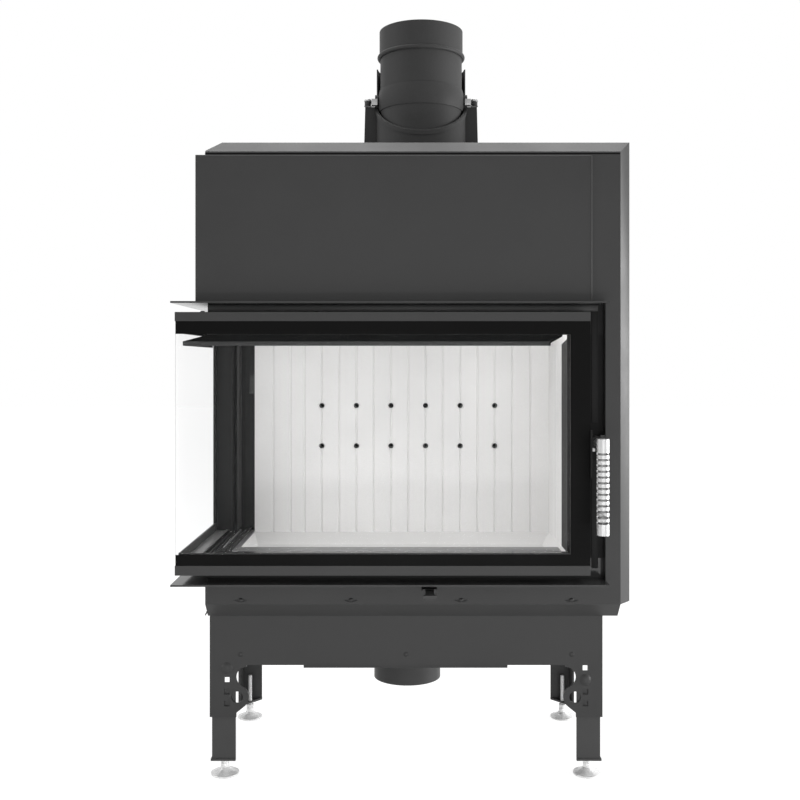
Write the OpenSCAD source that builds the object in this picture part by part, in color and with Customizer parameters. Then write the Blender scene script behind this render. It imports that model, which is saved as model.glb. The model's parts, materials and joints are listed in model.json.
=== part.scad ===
// Corner hearth insert: a steel firebox with an L-shaped glazed door that
// swings on its rear left edge, telescopic legs, a tilting flue spigot and
// a combustion air inlet below. Lengths are millimetres, +Z is up, the door
// faces -Y, the glazed side faces -X, and the floor is at zero.

/* [Door] */
// Width of the glazed front of the door
door_w = 680; // [560:1:820]
// Height of the door over both rails
door_h = 432; // [380:1:520]
// Length of the glazed side of the door, rear stile included
door_side = 375; // [340:1:390]
// Thickness of the ceramic glass
glass_t = 4; // [3:0.5:6]
// Space for the rope seal between the door frame and the firebox face
seal_space = 8.5; // [6:0.5:10]
// Height of the top rail that shows above the glass
top_rail_h = 15; // [10:1:24]
// Height of the bottom rail that shows below the glass
bottom_rail_h = 16; // [10:1:24]
// Height of the rail lip behind the glass
rail_lip_h = 20; // [12:1:26]
// Width of the latch stile
latch_stile_w = 32; // [24:1:44]
// Depth of the hinge stile along the glazed side
hinge_stile_d = 50; // [40:1:60]
// Sheet thickness of the two stiles
stile_t = 3; // [2:0.5:4]
// Distance from the front glass to the firebox face behind it
front_recess = 51; // [48:1:60]
// Distance from the side glass to the firebox face behind it
side_recess = 43; // [40:1:50]
// Running gap between the door seal and the face that it closes on
seal_clearance = 0.6; // [0.3:0.1:1.5]
// Radius of the hinge pins
hinge_pin_r = 5; // [4:0.5:6]
// Radial running clearance of pins and shafts
running_fit = 0.05; // [0.02:0.01:0.1]
// Distance of the hinge axis from the side glass
hinge_inset = 8.5; // [8:0.5:9]
// Distance of the hinge axis from the rear end of the door
hinge_end = 9; // [8:0.5:10]
// Gap between the door and the lower trim plate
door_gap_low = 14; // [12:1:18]
// Gap between the door and the upper trim plate
door_gap_top = 14.5; // [12:0.5:18]
// Gap between the door and the right side of its recess
door_gap_side = 30.5; // [28:0.5:40]

/* [Door handle] */
// Outer radius of the grip tube
grip_r = 10; // [8:0.5:11]
// Length of the grip tube
grip_l = 153; // [120:1:200]
// Wall of the grip tube
grip_wall = 2; // [1.5:0.5:3]
// Number of slots cut across the grip
grip_slots = 13; // [5:1:15]
// Spacing of the grip slots
grip_slot_pitch = 9.1; // [8:0.1:9.5]
// Height of one grip slot
grip_slot_h = 3.6; // [2:0.1:5]
// Distance of the grip axis in front of the glass
grip_reach = 53; // [45:1:60]
// Height of the grip's top above the bottom of the door
grip_top = 228; // [200:1:300]
// Radius of the handle shaft
shaft_r = 6; // [4:0.5:7]
// Radius of the bush that carries the handle shaft
bush_r = 10.5; // [9:0.5:11]

/* [Casing] */
// Depth of the body behind the end of the door recess
rear_depth = 68; // [50:1:130]
// Reach of the trim plates past the glass
trim_lip = 7; // [4:1:14]
// Thickness of the trim plates
trim_t = 3; // [2:0.5:4]
// Setback of the hood behind the glass, at the front and at the side
hood_setback = 27; // [20:1:32]
// Height of the hood
hood_h = 245; // [160:1:320]
// Reach of the hood past the right edge of the door
hood_reach = 7.5; // [2:0.5:12]
// Sheet thickness of the casing
sheet_t = 2; // [1.5:0.5:3]
// Width of the front frame strip beside the door
strip_w = 25; // [18:1:40]
// Width that the bevelled edge adds at the top and right
bevel_w = 20; // [12:1:30]
// Depth of the bevelled edge
bevel_d = 24; // [16:1:30]
// Height of the bevelled edge below the lower panel
bevel_low_h = 25; // [16:1:30]
// Height of the lower front panel
lower_panel_h = 37; // [34:1:60]
// Margin of the front frame above the hood
hood_margin = 6.5; // [4:0.5:12]

/* [Firebox] */
// Plate thickness of the firebox
plate_t = 4; // [3:0.5:6]
// Thickness of the lining boards
lining_t = 30; // [25:1:35]
// Air gap between the firebox and the rear casing
rear_gap = 39; // [34:1:60]
// Distance from the clear opening to the right side of the door recess
opening_margin = 53; // [40:1:60]
// Height of the sill above the lower trim plate
sill_h = 33; // [26:1:38]
// Depth of the sill in front of the hearth
sill_flange = 60; // [50:1:66]
// Width of the sill beside the hearth
side_flange = 17; // [14:1:22]
// Height of the lintel below the upper trim plate
lintel_h = 50.5; // [44:0.5:60]
// Height of the firebox roof above the upper trim plate
roof_rise = 153; // [110:1:200]
// Height of the lining above the upper trim plate
lining_rise = 58; // [30:1:80]
// Number of groove spacings across the back of the lining
groove_count = 17; // [12:1:24]
// Width of a lining groove
groove_w = 5; // [3:0.5:8]
// Depth of a lining groove
groove_depth = 3; // [2:0.5:5]
// Radius of an air hole in the back lining
air_hole_r = 4.5; // [3:0.5:6]
// Radius of the countersink around an air hole
air_sink_r = 8.5; // [7:0.5:10]
// Height between the two rows of air holes
air_row_gap = 81; // [60:1:100]
// Thickness of the loose baffle boards
baffle_t = 25; // [20:1:30]

/* [Flue] */
// Outer radius of the flue spigot
spigot_r = 79; // [70:1:95]
// Wall of the flue spigot
spigot_wall = 2; // [1.5:0.5:3]
// Height of the flue spigot above its tilt axis
spigot_h = 132; // [110:1:160]
// Height of the tilt axis above the casing
tilt_h = 123; // [110:1:150]
// Distance of the bead from the rim of the spigot
bead_drop = 48.5; // [40:0.5:60]
// Amount that the bead stands out
bead_h = 4; // [2:0.5:6]
// Angle that the spigot can lean forward
tilt_max = 45; // [20:1:45]
// Distance of the flue axis from the middle of the insert
flue_x = 32; // [0:1:60]
// Distance of the flue axis from the glass face
flue_depth = 270; // [250:1:300]
// Width of a side bracket of the flue collar
bracket_w = 25; // [20:1:32]

/* [Air inlet] */
// Outer radius of the air inlet
inlet_r = 62.5; // [50:0.5:75]
// Wall of the air inlet
inlet_wall = 2; // [1.5:0.5:3]
// Length of the air inlet below the air box
inlet_l = 72.5; // [50:0.5:120]
// Distance of the air inlet from the glass face
inlet_depth = 259; // [200:1:280]
// Width of the air box
air_box_w = 347; // [300:1:400]
// Amount that the air box shows below the apron
air_box_drop = 7.5; // [4:0.5:12]
// Travel of the air control
air_travel = 40; // [20:1:40]

/* [Legs] */
// Height of a foot below its leg
foot_h = 29; // [24:1:40]
// Radius of the base of a foot
foot_r = 24; // [18:1:30]
// Radius of the threaded stud of a foot
stud_r = 4; // [3:0.5:6]
// Length of leg that shows below its sleeve
leg_show = 75; // [65:1:140]
// Length of a leg sleeve
sleeve_l = 172; // [160:1:200]
// Width of a leg sleeve
sleeve_w = 45; // [42:1:56]
// Depth of the side of a leg sleeve
sleeve_d = 50; // [42:1:60]
// Sheet thickness of the leg frame
leg_t = 3; // [2:0.5:4]
// Height of the apron of the leg frame
apron_h = 84; // [60:1:88]
// Depth of the leg frame
leg_frame_d = 321; // [300:1:330]
// Travel of a leg in its sleeve
leg_travel = 60; // [40:1:60]
// Spacing of the height holes
height_pitch = 20; // [16:0.5:22]
// Gap between a sliding leg and its sleeve
slide_gap = 0.3; // [0.2:0.1:0.6]
// Radius of the round web beside a sleeve
web_r = 20; // [16:0.5:22]
// Radius of the round hole in that web
web_hole_r = 9.8; // [6:0.1:11]
// Radius of a leg bolt
bolt_r = 4; // [3:0.5:4.5]
// Radius of the dome of a leg bolt
bolt_head_r = 9.8; // [7:0.1:11]

/* [Hidden] */

// Overrun of every cut past the face that it opens
cut = 1;
// Facets of a full circle
fine = 64;
small_fine = 32;

// Finishes
steel_black = [0.24, 0.25, 0.26];
steel_dark = [0.13, 0.13, 0.14];
lining_white = [0.86, 0.85, 0.82];
zinc = [0.72, 0.73, 0.74];
polished = [0.86, 0.87, 0.88];
clear_glass = [0.75, 0.8, 0.82, 0.35];
rope_black = [0.1, 0.1, 0.1];

// Planes across the width, from the left tip of the trim to the right casing
overall_w = trim_lip + door_w + door_gap_side + strip_w + bevel_w;
x_left = -overall_w / 2;
x_glass = x_left + trim_lip;
x_hood = x_glass + hood_setback;
x_body = x_glass + side_recess;
x_door = x_glass + door_w;
x_jamb = x_door + door_gap_side;
x_strip = x_jamb + strip_w;
x_right = x_strip + bevel_w;
x_hood_end = x_door + hood_reach;

// Planes from front to rear
body_depth = door_side + trim_lip + rear_depth;
overall_d = grip_reach + grip_r + body_depth;
y_front = -overall_d / 2;
y_glass = y_front + grip_reach + grip_r;
y_trim = y_glass - trim_lip;
y_hood = y_glass + hood_setback;
y_frame = y_hood + sheet_t;
y_bevel = y_frame + bevel_d;
y_body = y_glass + front_recess;
y_side = y_glass + door_side;
y_post = y_side + trim_lip;
y_rear = y_glass + body_depth;
y_shell = y_rear - rear_gap;
y_lining = y_shell - plate_t - lining_t;

// Levels above the floor
z_sleeve = foot_h + leg_show;
z_base = z_sleeve + sleeve_l;
z_apron = z_base - apron_h;
z_panel = z_base + bevel_low_h;
z_trim = z_panel + lower_panel_h;
z_recess = z_trim + trim_t;
z_door = z_recess + door_gap_low;
z_door_top = z_door + door_h;
z_top_trim = z_door_top + door_gap_top;
z_hood = z_top_trim + trim_t;
z_hood_top = z_hood + hood_h;
z_frame = z_hood_top + hood_margin;
z_top = z_frame + bevel_w;
z_sill = z_recess + sill_h;
z_lintel = z_top_trim - lintel_h;
z_roof = z_top_trim + roof_rise;
z_lining_top = z_top_trim + lining_rise;

// Plan of a strip that turns the glazed corner
module corner(x0, y0, x1, y1, front_w, side_w) {
    polygon([
        [x0, y0], [x1, y0], [x1, y0 + front_w],
        [x0 + side_w, y0 + front_w], [x0 + side_w, y1], [x0, y1]
    ]);
}

module corner_bar(x0, y0, x1, y1, front_w, side_w, z0, z1) {
    translate([0, 0, z0])
        linear_extrude(z1 - z0)
            corner(x0, y0, x1, y1, front_w, side_w);
}

// A box between two corners
module slab(low, high) {
    translate(low) cube(high - low);
}

// A cylinder along each axis, between two places on it
module rod_x(x0, x1, y, z, r, fn = fine) {
    translate([x0, y, z])
        rotate([0, 90, 0])
            cylinder(h = x1 - x0, r = r, $fn = fn);
}

module rod_y(x, y0, y1, z, r, fn = fine) {
    translate([x, y0, z])
        rotate([-90, 0, 0])
            cylinder(h = y1 - y0, r = r, $fn = fn);
}

module rod_z(x, y, z0, z1, r, fn = fine) {
    translate([x, y, z0])
        cylinder(h = z1 - z0, r = r, $fn = fn);
}

// A plate drawn in the XZ plane and given its thickness along Y
module upright(y0, t) {
    translate([0, y0 + t, 0])
        rotate([90, 0, 0])
            linear_extrude(t)
                children();
}

// A plate drawn in the YZ plane and given its thickness along X
module sideways(x0, t) {
    translate([x0, 0, 0])
        rotate([90, 0, 90])
            linear_extrude(t)
                children();
}

// Leg frame: four sheets with a folded sleeve at each corner
x_leg_l = x_body + 2.5;
x_leg_r = x_jamb;
leg_mid = (x_leg_l + x_leg_r) / 2;
leg_half = (x_leg_r - x_leg_l) / 2;
leg_setback = 28;
y_leg = y_hood + leg_setback;
y_leg_end = y_leg + leg_frame_d;
leg_depth_mid = (y_leg + y_leg_end) / 2;
leg_depth_half = leg_frame_d / 2;
z_hole = z_apron - 5;
hole_in = 29;
hole_side = 9.3;
web_x = 1.3;
web_rise = 33.5;
web_z = z_sleeve + web_rise;
notch_r = 17.5;
notch_z = web_z + sqrt(pow(web_r + notch_r, 2) - pow(notch_r - web_x, 2));
notch_touch_x = notch_r - (notch_r - web_x) * notch_r / (web_r + notch_r);
gusset_z = z_sleeve + 7;
gusset_a = acos(web_r / (web_z - gusset_z));

// One sleeve front with its scrolled web, its inner edge at zero
module sleeve_outline() {
    difference() {
        union() {
            translate([-sleeve_w, z_sleeve])
                square([sleeve_w, z_apron - z_sleeve]);
            translate([web_x, web_z])
                circle(r = web_r, $fn = fine);
            translate([-web_x, web_z])
                square([web_x + notch_touch_x, z_apron - web_z]);
            translate([-web_x, notch_z])
                square([web_x + notch_r, z_apron - notch_z]);
            polygon([
                [-web_x, gusset_z],
                [0, gusset_z],
                [web_x + web_r * sin(gusset_a), web_z - web_r * cos(gusset_a)],
                [web_x, web_z],
                [-web_x, web_z]
            ]);
        }
        translate([web_x, web_z])
            circle(r = web_hole_r, $fn = fine);
        translate([notch_r, notch_z])
            circle(r = notch_r, $fn = fine);
        for (i = [0:3])
            translate([
                hole_in - sleeve_w - hole_side / 2,
                z_hole - i * height_pitch - hole_side / 2
            ])
                square(hole_side);
    }
}

apron_screw_r = 2.5;
apron_screw_z = z_apron + 18;
apron_screw_in = sleeve_w + 7;
apron_screw_x = [x_leg_l + apron_screw_in, leg_mid, x_leg_r - apron_screw_in];

module leg_sheet(y0) {
    upright(y0, leg_t)
        difference() {
            union() {
                translate([x_leg_l, z_apron])
                    square([2 * leg_half, apron_h]);
                translate([x_leg_l + sleeve_w, 0])
                    sleeve_outline();
                translate([x_leg_r - sleeve_w, 0])
                    mirror([1, 0])
                        sleeve_outline();
            }
            for (x = apron_screw_x)
                translate([x, apron_screw_z])
                    circle(r = apron_screw_r + running_fit, $fn = small_fine);
        }
}

module leg_side(x0) {
    sideways(x0, leg_t)
        union() {
            translate([y_leg + leg_t, z_apron])
                square([leg_frame_d - 2 * leg_t, apron_h]);
            translate([y_leg + leg_t, z_sleeve])
                square([sleeve_d - leg_t, z_apron - z_sleeve]);
            translate([y_leg_end - sleeve_d, z_sleeve])
                square([sleeve_d - leg_t, z_apron - z_sleeve]);
        }
}

module leg_frame_front() {
    color(steel_black) leg_sheet(y_leg);
}

module leg_frame_rear() {
    color(steel_black) leg_sheet(y_leg_end - leg_t);
}

module leg_frame_left() {
    color(steel_black) leg_side(x_leg_l);
}

module leg_frame_right() {
    color(steel_black) leg_side(x_leg_r - leg_t);
}

dome_h = 4.5;
nut_h = 6.5;
nut_r = 7.5;
bolt_tail = 3;
neck_side = hole_side - 2 * slide_gap;
bolt_grip = 2 * leg_t + 2 * slide_gap;

// A dome of a given base radius and height, its base at zero
module dome(r, h) {
    ball_r = (r * r + h * h) / (2 * h);
    intersection() {
        translate([0, 0, h - ball_r])
            sphere(r = ball_r, $fn = fine);
        cylinder(h = h + cut, r = r, $fn = fine);
    }
}

// A coach bolt, its head below zero and its shank along +Z
module coach_bolt() {
    mirror([0, 0, 1])
        dome(bolt_head_r, dome_h);
    translate([-neck_side / 2, -neck_side / 2, 0])
        cube([neck_side, neck_side, leg_t]);
    cylinder(h = bolt_grip + nut_h + bolt_tail, r = bolt_r, $fn = small_fine);
    translate([0, 0, bolt_grip])
        cylinder(h = nut_h, r = nut_r, $fn = 6);
}

// Each bolt sits in the top hole on the left and the second hole on the right
module leg_bolts() {
    color(zinc)
        for (rear = [0, 1], right = [0, 1])
            translate([
                leg_mid + (2 * right - 1) * (leg_half - hole_in),
                leg_depth_mid,
                z_hole - right * height_pitch
            ])
                mirror([0, rear, 0])
                    translate([0, -leg_depth_half, 0])
                        rotate([-90, 0, 0])
                            coach_bolt();
}

apron_head_r = 4.5;
apron_head_h = 1.6;
apron_nut_r = 4.5;
apron_nut_h = 3;

module apron_screws() {
    color(steel_dark)
        for (rear = [0, 1], x = apron_screw_x)
            translate([x, leg_depth_mid, apron_screw_z])
                mirror([0, rear, 0])
                    translate([0, -leg_depth_half, 0])
                        rotate([-90, 0, 0]) {
                            mirror([0, 0, 1])
                                dome(apron_head_r, apron_head_h);
                            cylinder(h = leg_t + apron_nut_h, r = apron_screw_r, $fn = small_fine);
                            translate([0, 0, leg_t])
                                cylinder(h = apron_nut_h, r = apron_nut_r, $fn = 6);
                        }
}

// Sliding legs and levelling feet, drawn for the front left corner
leg_in = leg_t + slide_gap;
leg_trim = 1.5;
leg_top = z_base - 1;
slot_w = 2 * (bolt_r + slide_gap);
slot_low = z_hole - height_pitch - slot_w / 2 - 2;
slot_high = z_hole + leg_travel + slot_w / 2 + 2;
foot_in = 22.3;
foot_plate_t = 4;
foot_plate_out = 2;

module at_leg(right, rear) {
    translate([leg_mid, leg_depth_mid, 0])
        mirror([right, 0, 0])
            mirror([0, rear, 0])
                translate([-leg_half, -leg_depth_half, 0])
                    children();
}

module leg_shape() {
    difference() {
        slab([leg_in, leg_in, foot_h], [sleeve_w - leg_trim, leg_in + leg_t, leg_top]);
        slab(
            [hole_in - slot_w / 2, leg_in - cut, slot_low],
            [hole_in + slot_w / 2, leg_in + leg_t + cut, slot_high]
        );
    }
    slab([leg_in, leg_in, foot_h], [leg_in + leg_t, sleeve_d - leg_trim, leg_top]);
    difference() {
        translate([0, 0, foot_h])
            linear_extrude(foot_plate_t)
                polygon([
                    [leg_in - foot_plate_out, leg_in - foot_plate_out],
                    [sleeve_w - leg_trim, leg_in - foot_plate_out],
                    [sleeve_w - leg_trim, leg_in + leg_t],
                    [leg_in + leg_t, sleeve_d - leg_trim],
                    [leg_in - foot_plate_out, sleeve_d - leg_trim]
                ]);
        rod_z(foot_in, foot_in, foot_h - cut, foot_h + foot_plate_t + cut, stud_r + running_fit);
    }
}

module leg_front_left() {
    color(steel_black) at_leg(0, 0) leg_shape();
}

module leg_front_right() {
    color(steel_black) at_leg(1, 0) leg_shape();
}

module leg_rear_left() {
    color(steel_black) at_leg(0, 1) leg_shape();
}

module leg_rear_right() {
    color(steel_black) at_leg(1, 1) leg_shape();
}

foot_rim_h = 3;
foot_cone_h = 9;
foot_neck_r = 7;
foot_neck_h = 8;
foot_nut_r = 7.5;
foot_nut_h = 6;
stud_show = 50;

module foot_shape() {
    translate([foot_in, foot_in, 0]) {
        cylinder(h = foot_rim_h, r = foot_r, $fn = fine);
        translate([0, 0, foot_rim_h])
            cylinder(h = foot_cone_h, r1 = foot_r, r2 = foot_neck_r, $fn = fine);
        translate([0, 0, foot_rim_h + foot_cone_h])
            cylinder(h = foot_neck_h, r = foot_neck_r, $fn = fine);
        cylinder(h = foot_h + foot_plate_t + stud_show, r = stud_r, $fn = small_fine);
        translate([0, 0, foot_rim_h + foot_cone_h + foot_neck_h])
            cylinder(h = foot_nut_h, r = foot_nut_r, $fn = 6);
    }
}

module foot_front_left() {
    color(polished) at_leg(0, 0) foot_shape();
}

module foot_front_right() {
    color(polished) at_leg(1, 0) foot_shape();
}

module foot_rear_left() {
    color(polished) at_leg(0, 1) foot_shape();
}

module foot_rear_right() {
    color(polished) at_leg(1, 1) foot_shape();
}

// Air control: a tongue through the lower panel that carries the throttle
x_air = 42.3;
z_tongue = z_trim - 10;
tongue_t = 4;
tongue_w = 14;
tongue_reach = 70;
grip_bar_w = 21;
grip_bar_h = 6.7;
grip_bar_d = 8;
guide_w = 23;
guide_t = 4.7;
guide_reach = 19;
drop_y = y_bevel + sheet_t + 2.5;
drop_t = 4;
floor_t = sheet_t;
throttle_gap = 0.3;
throttle_t = 3;
throttle_w = 140;
throttle_in = 68;
throttle_y = y_body + throttle_in;
throttle_d = 80;
throttle_z = z_base + floor_t + throttle_gap;
control_gap = 1;

// Base: a shallow tray with an inner ring that carries the firebox
ring_t = 3;
z_shell = z_panel + 4;
x_low = x_body + side_flange;
y_low = y_body + sill_flange;
x_clear = x_jamb - opening_margin;
face_t = 3;
lining_setback = 7;
x_lining_side = x_clear + lining_setback;
x_shell_end = x_lining_side + lining_t + plate_t;
air_port_w = 120;
air_port_d = air_travel - 6;
air_port_y = throttle_y + throttle_d + 4;
duct_w = 400;
duct_gap = 20;
lining_share = 0.522;
lining_inset = 30.5;
x_lining = x_body + lining_inset;
lining_w = x_lining_side - x_lining;
lining_mid = x_lining + lining_share * lining_w;
groove_pitch = lining_w / groove_count;
flange_h = 17;
flange_base = z_shell - sheet_t;
slot_pitch = 0.2653 * (x_strip - x_body);
slot_x = [for (i = [0:3]) leg_mid + (i - 1.5) * slot_pitch];
slot_z = z_panel + 7;
slot_long = 22;
slot_high_r = 3;
panel_screw_r = 2;

module base_plenum() {
    color(steel_black)
        difference() {
            union() {
                slab([x_body, y_bevel, z_base], [x_strip, y_rear, z_base + floor_t]);
                slab([x_body, y_bevel, z_base], [x_body + sheet_t, y_rear, z_panel]);
                slab([x_strip - sheet_t, y_bevel, z_base], [x_strip, y_rear, z_panel]);
                slab([x_body, y_rear - sheet_t, z_base], [x_strip, y_rear, z_panel]);
                slab([x_body, y_bevel, z_base], [x_strip, y_bevel + sheet_t, z_panel]);
                slab(
                    [x_body + sheet_t, y_bevel, z_base],
                    [x_strip - sheet_t, y_bevel + sheet_t, z_shell]
                );
                slab(
                    [x_body + sheet_t, y_frame + sheet_t, flange_base],
                    [x_strip - sheet_t, y_bevel + sheet_t, z_shell]
                );
                slab(
                    [x_body + sheet_t, y_frame + sheet_t, flange_base],
                    [x_strip - sheet_t, y_frame + 2 * sheet_t, flange_base + flange_h]
                );
                difference() {
                    slab([x_low, y_low, z_base], [x_shell_end, y_shell, z_shell]);
                    slab(
                        [x_low + ring_t, y_low + ring_t, z_base - cut],
                        [x_shell_end - ring_t, y_shell - ring_t, z_shell + cut]
                    );
                }
            }
            slab(
                [x_air - air_port_w / 2, air_port_y, z_base - cut],
                [x_air + air_port_w / 2, air_port_y + air_port_d, z_base + floor_t + cut]
            );
            slab(
                [x_air - tongue_w / 2 - control_gap, y_low - cut, throttle_z],
                [
                    x_air + tongue_w / 2 + control_gap,
                    y_low + ring_t + cut,
                    throttle_z + throttle_t + tongue_t + control_gap
                ]
            );
            slab(
                [lining_mid - duct_w / 2 + duct_gap, y_shell - ring_t - cut, z_base + floor_t],
                [lining_mid + duct_w / 2 - duct_gap, y_shell + cut, z_shell - ring_t]
            );
            for (x = slot_x)
                rod_y(
                    x, y_frame + sheet_t - cut, y_frame + 2 * sheet_t + cut, slot_z,
                    panel_screw_r + running_fit, small_fine
                );
        }
}

// Air box below the tray and the round inlet in its floor
air_box_x = leg_mid - 1;
air_box_front = y_leg + leg_t + 6;
air_box_d = 282;
air_box_t = 2;
air_box_flange = 5;
inlet_x = leg_mid + 2;
y_inlet = y_glass + inlet_depth;
z_box = z_apron - air_box_drop;
inlet_flange = 11;
inlet_flange_t = 3;

module air_box() {
    color(steel_black)
        difference() {
            union() {
                slab(
                    [air_box_x - air_box_w / 2, air_box_front, z_box],
                    [air_box_x + air_box_w / 2, air_box_front + air_box_d, z_base]
                );
                slab(
                    [
                        air_box_x - air_box_w / 2 - air_box_flange,
                        air_box_front - air_box_flange,
                        z_base - air_box_t
                    ],
                    [
                        air_box_x + air_box_w / 2 + air_box_flange,
                        air_box_front + air_box_d + air_box_flange,
                        z_base
                    ]
                );
            }
            slab(
                [
                    air_box_x - air_box_w / 2 + air_box_t,
                    air_box_front + air_box_t,
                    z_box + air_box_t
                ],
                [
                    air_box_x + air_box_w / 2 - air_box_t,
                    air_box_front + air_box_d - air_box_t,
                    z_base + cut
                ]
            );
            rod_z(inlet_x, y_inlet, z_box - cut, z_box + air_box_t + cut, inlet_r - inlet_wall);
        }
}

module air_inlet() {
    color(steel_black)
        difference() {
            union() {
                rod_z(inlet_x, y_inlet, z_box - inlet_l, z_box, inlet_r);
                rod_z(inlet_x, y_inlet, z_box - inlet_flange_t, z_box, inlet_r + inlet_flange);
            }
            rod_z(inlet_x, y_inlet, z_box - inlet_l - cut, z_box + cut, inlet_r - inlet_wall);
        }
}

module air_control() {
    color(steel_dark) {
        slab(
            [x_air - grip_bar_w / 2, y_frame - tongue_reach, z_tongue - grip_bar_h / 2],
            [x_air + grip_bar_w / 2, y_frame - tongue_reach + grip_bar_d, z_tongue + grip_bar_h / 2]
        );
        slab(
            [x_air - tongue_w / 2, y_frame - tongue_reach, z_tongue - tongue_t / 2],
            [x_air + tongue_w / 2, drop_y, z_tongue + tongue_t / 2]
        );
        slab(
            [x_air - guide_w / 2, y_frame - guide_reach, z_tongue - guide_t / 2],
            [x_air + guide_w / 2, drop_y + drop_t, z_tongue + guide_t / 2]
        );
        slab(
            [x_air - tongue_w / 2, drop_y, throttle_z + throttle_t],
            [x_air + tongue_w / 2, drop_y + drop_t, z_tongue + guide_t / 2]
        );
        slab(
            [x_air - tongue_w / 2, drop_y, throttle_z + throttle_t],
            [
                x_air + tongue_w / 2,
                throttle_y + throttle_d / 2,
                throttle_z + throttle_t + tongue_t
            ]
        );
        slab(
            [x_air - throttle_w / 2, throttle_y, throttle_z],
            [x_air + throttle_w / 2, throttle_y + throttle_d, throttle_z + throttle_t]
        );
    }
}

// Front frame: one folded sheet with a bevelled border
bevel_drop_t = sheet_t * sqrt(pow(bevel_d, 2) + pow(bevel_low_h, 2)) / bevel_d;
bevel_top_t = sheet_t * sqrt(pow(bevel_d, 2) + pow(bevel_w, 2)) / bevel_d;
bevel_side_t = sheet_t * sqrt(pow(bevel_d, 2) + pow(bevel_w, 2)) / bevel_w;

// Plan wedge to the right of the mitre that starts behind the front sheet
module mitre_plan(side) {
    linear_extrude(z_top + cut)
        polygon([
            [x_body, y_frame + sheet_t],
            [x_body + bevel_d, y_bevel],
            side == "top" ? [x_right + bevel_d, y_bevel] : [x_body + bevel_d, y_rear],
            side == "top" ? [x_right + bevel_d, y_frame - cut] : [x_body - cut, y_rear],
            side == "top" ? [x_body, y_frame - cut] : [x_body - cut, y_frame + sheet_t]
        ]);
}

module front_frame() {
    color(steel_black) {
        difference() {
            slab([x_body, y_frame, z_panel], [x_strip, y_frame + sheet_t, z_frame]);
            slab(
                [x_body - cut, y_frame - cut, z_trim],
                [x_jamb, y_frame + sheet_t + cut, z_hood]
            );
            slab(
                [
                    x_air - guide_w / 2 - control_gap,
                    y_frame - cut,
                    z_tongue - grip_bar_h / 2 - control_gap
                ],
                [
                    x_air + guide_w / 2 + control_gap,
                    y_frame + sheet_t + cut,
                    z_tongue + grip_bar_h / 2 + control_gap
                ]
            );
            for (x = slot_x)
                upright(y_frame - cut, sheet_t + 2 * cut)
                    translate([x, slot_z])
                        lens(slot_long, slot_high_r);
        }
        slab([x_jamb, y_frame, z_trim], [x_jamb + sheet_t, y_body, z_hood]);
        slab([x_body, y_frame, z_trim - sheet_t], [x_jamb + sheet_t, y_body, z_trim]);
        // Lower bevel
        sideways(x_body, x_strip - x_body)
            polygon([
                [y_frame, z_panel], [y_bevel, z_base],
                [y_bevel, z_base + bevel_drop_t], [y_frame, z_panel + bevel_drop_t]
            ]);
        // Upper bevel, mitred at both ends
        intersection() {
            sideways(x_body, x_right - x_body)
                polygon([
                    [y_frame, z_frame], [y_bevel, z_top],
                    [y_bevel, z_top - bevel_top_t], [y_frame, z_frame - bevel_top_t]
                ]);
            mitre_plan("top");
            upright(y_frame - cut, bevel_d + 2 * cut)
                polygon([
                    [x_body - cut, z_frame - bevel_w], [x_body - cut, z_top],
                    [x_right, z_top], [x_strip, z_frame], [x_strip, z_frame - bevel_w]
                ]);
        }
        // Right bevel, mitred at its top
        intersection() {
            translate([0, 0, z_panel])
                linear_extrude(z_top - z_panel)
                    polygon([
                        [x_strip, y_frame], [x_right, y_bevel],
                        [x_right, y_bevel + bevel_side_t], [x_strip, y_frame + bevel_side_t]
                    ]);
            upright(y_frame - cut, bevel_d + bevel_side_t + 2 * cut)
                polygon([
                    [x_strip, z_panel], [x_right, z_panel],
                    [x_right, z_top], [x_strip, z_frame]
                ]);
        }
    }
}

// A pointed oval of a given length and half height
module lens(long, half) {
    lens_r = (long * long / 4 + half * half) / (2 * half);
    intersection() {
        translate([0, half - lens_r])
            circle(r = lens_r, $fn = 2 * fine);
        translate([0, lens_r - half])
            circle(r = lens_r, $fn = 2 * fine);
    }
}

panel_head_r = 3.8;
panel_head_h = 2;
panel_nut_h = 3;
panel_nut_r = 2.9;

module panel_screws() {
    color(steel_dark)
        for (x = slot_x) {
            translate([x, y_frame, slot_z])
                rotate([90, 0, 0])
                    dome(panel_head_r, panel_head_h);
            rod_y(
                x, y_frame, y_frame + 2 * sheet_t + panel_nut_h, slot_z,
                panel_screw_r, small_fine
            );
            rod_y(
                x, y_frame + 2 * sheet_t, y_frame + 2 * sheet_t + panel_nut_h, slot_z,
                panel_nut_r, 6
            );
        }
}

// Cover over the upper front and left of the casing
module hood_panel() {
    color(steel_black) {
        slab([x_hood, y_hood, z_hood], [x_hood_end, y_frame, z_hood_top]);
        slab([x_hood, y_hood, z_hood], [x_hood + sheet_t, y_side, z_hood_top]);
        slab([x_hood, y_side - sheet_t, z_hood], [x_body, y_side, z_hood_top]);
        slab([x_hood, y_hood, z_hood_top - sheet_t], [x_body, y_side, z_hood_top]);
    }
}

module trim_plate(z) {
    color(steel_black)
        corner_bar(
            x_left, y_trim, x_jamb, y_post,
            y_body - y_trim, x_body - x_left, z, z + trim_t
        );
}

module top_trim_plate() {
    trim_plate(z_top_trim);
}

module bottom_trim_plate() {
    trim_plate(z_trim);
}

module casing_right() {
    color(steel_black) {
        slab(
            [x_right - sheet_t, y_bevel + bevel_side_t, z_panel],
            [x_right, y_rear - sheet_t, z_top]
        );
        slab(
            [x_strip, y_bevel + bevel_side_t, z_panel],
            [x_right, y_rear - sheet_t, z_panel + sheet_t]
        );
    }
}

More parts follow.
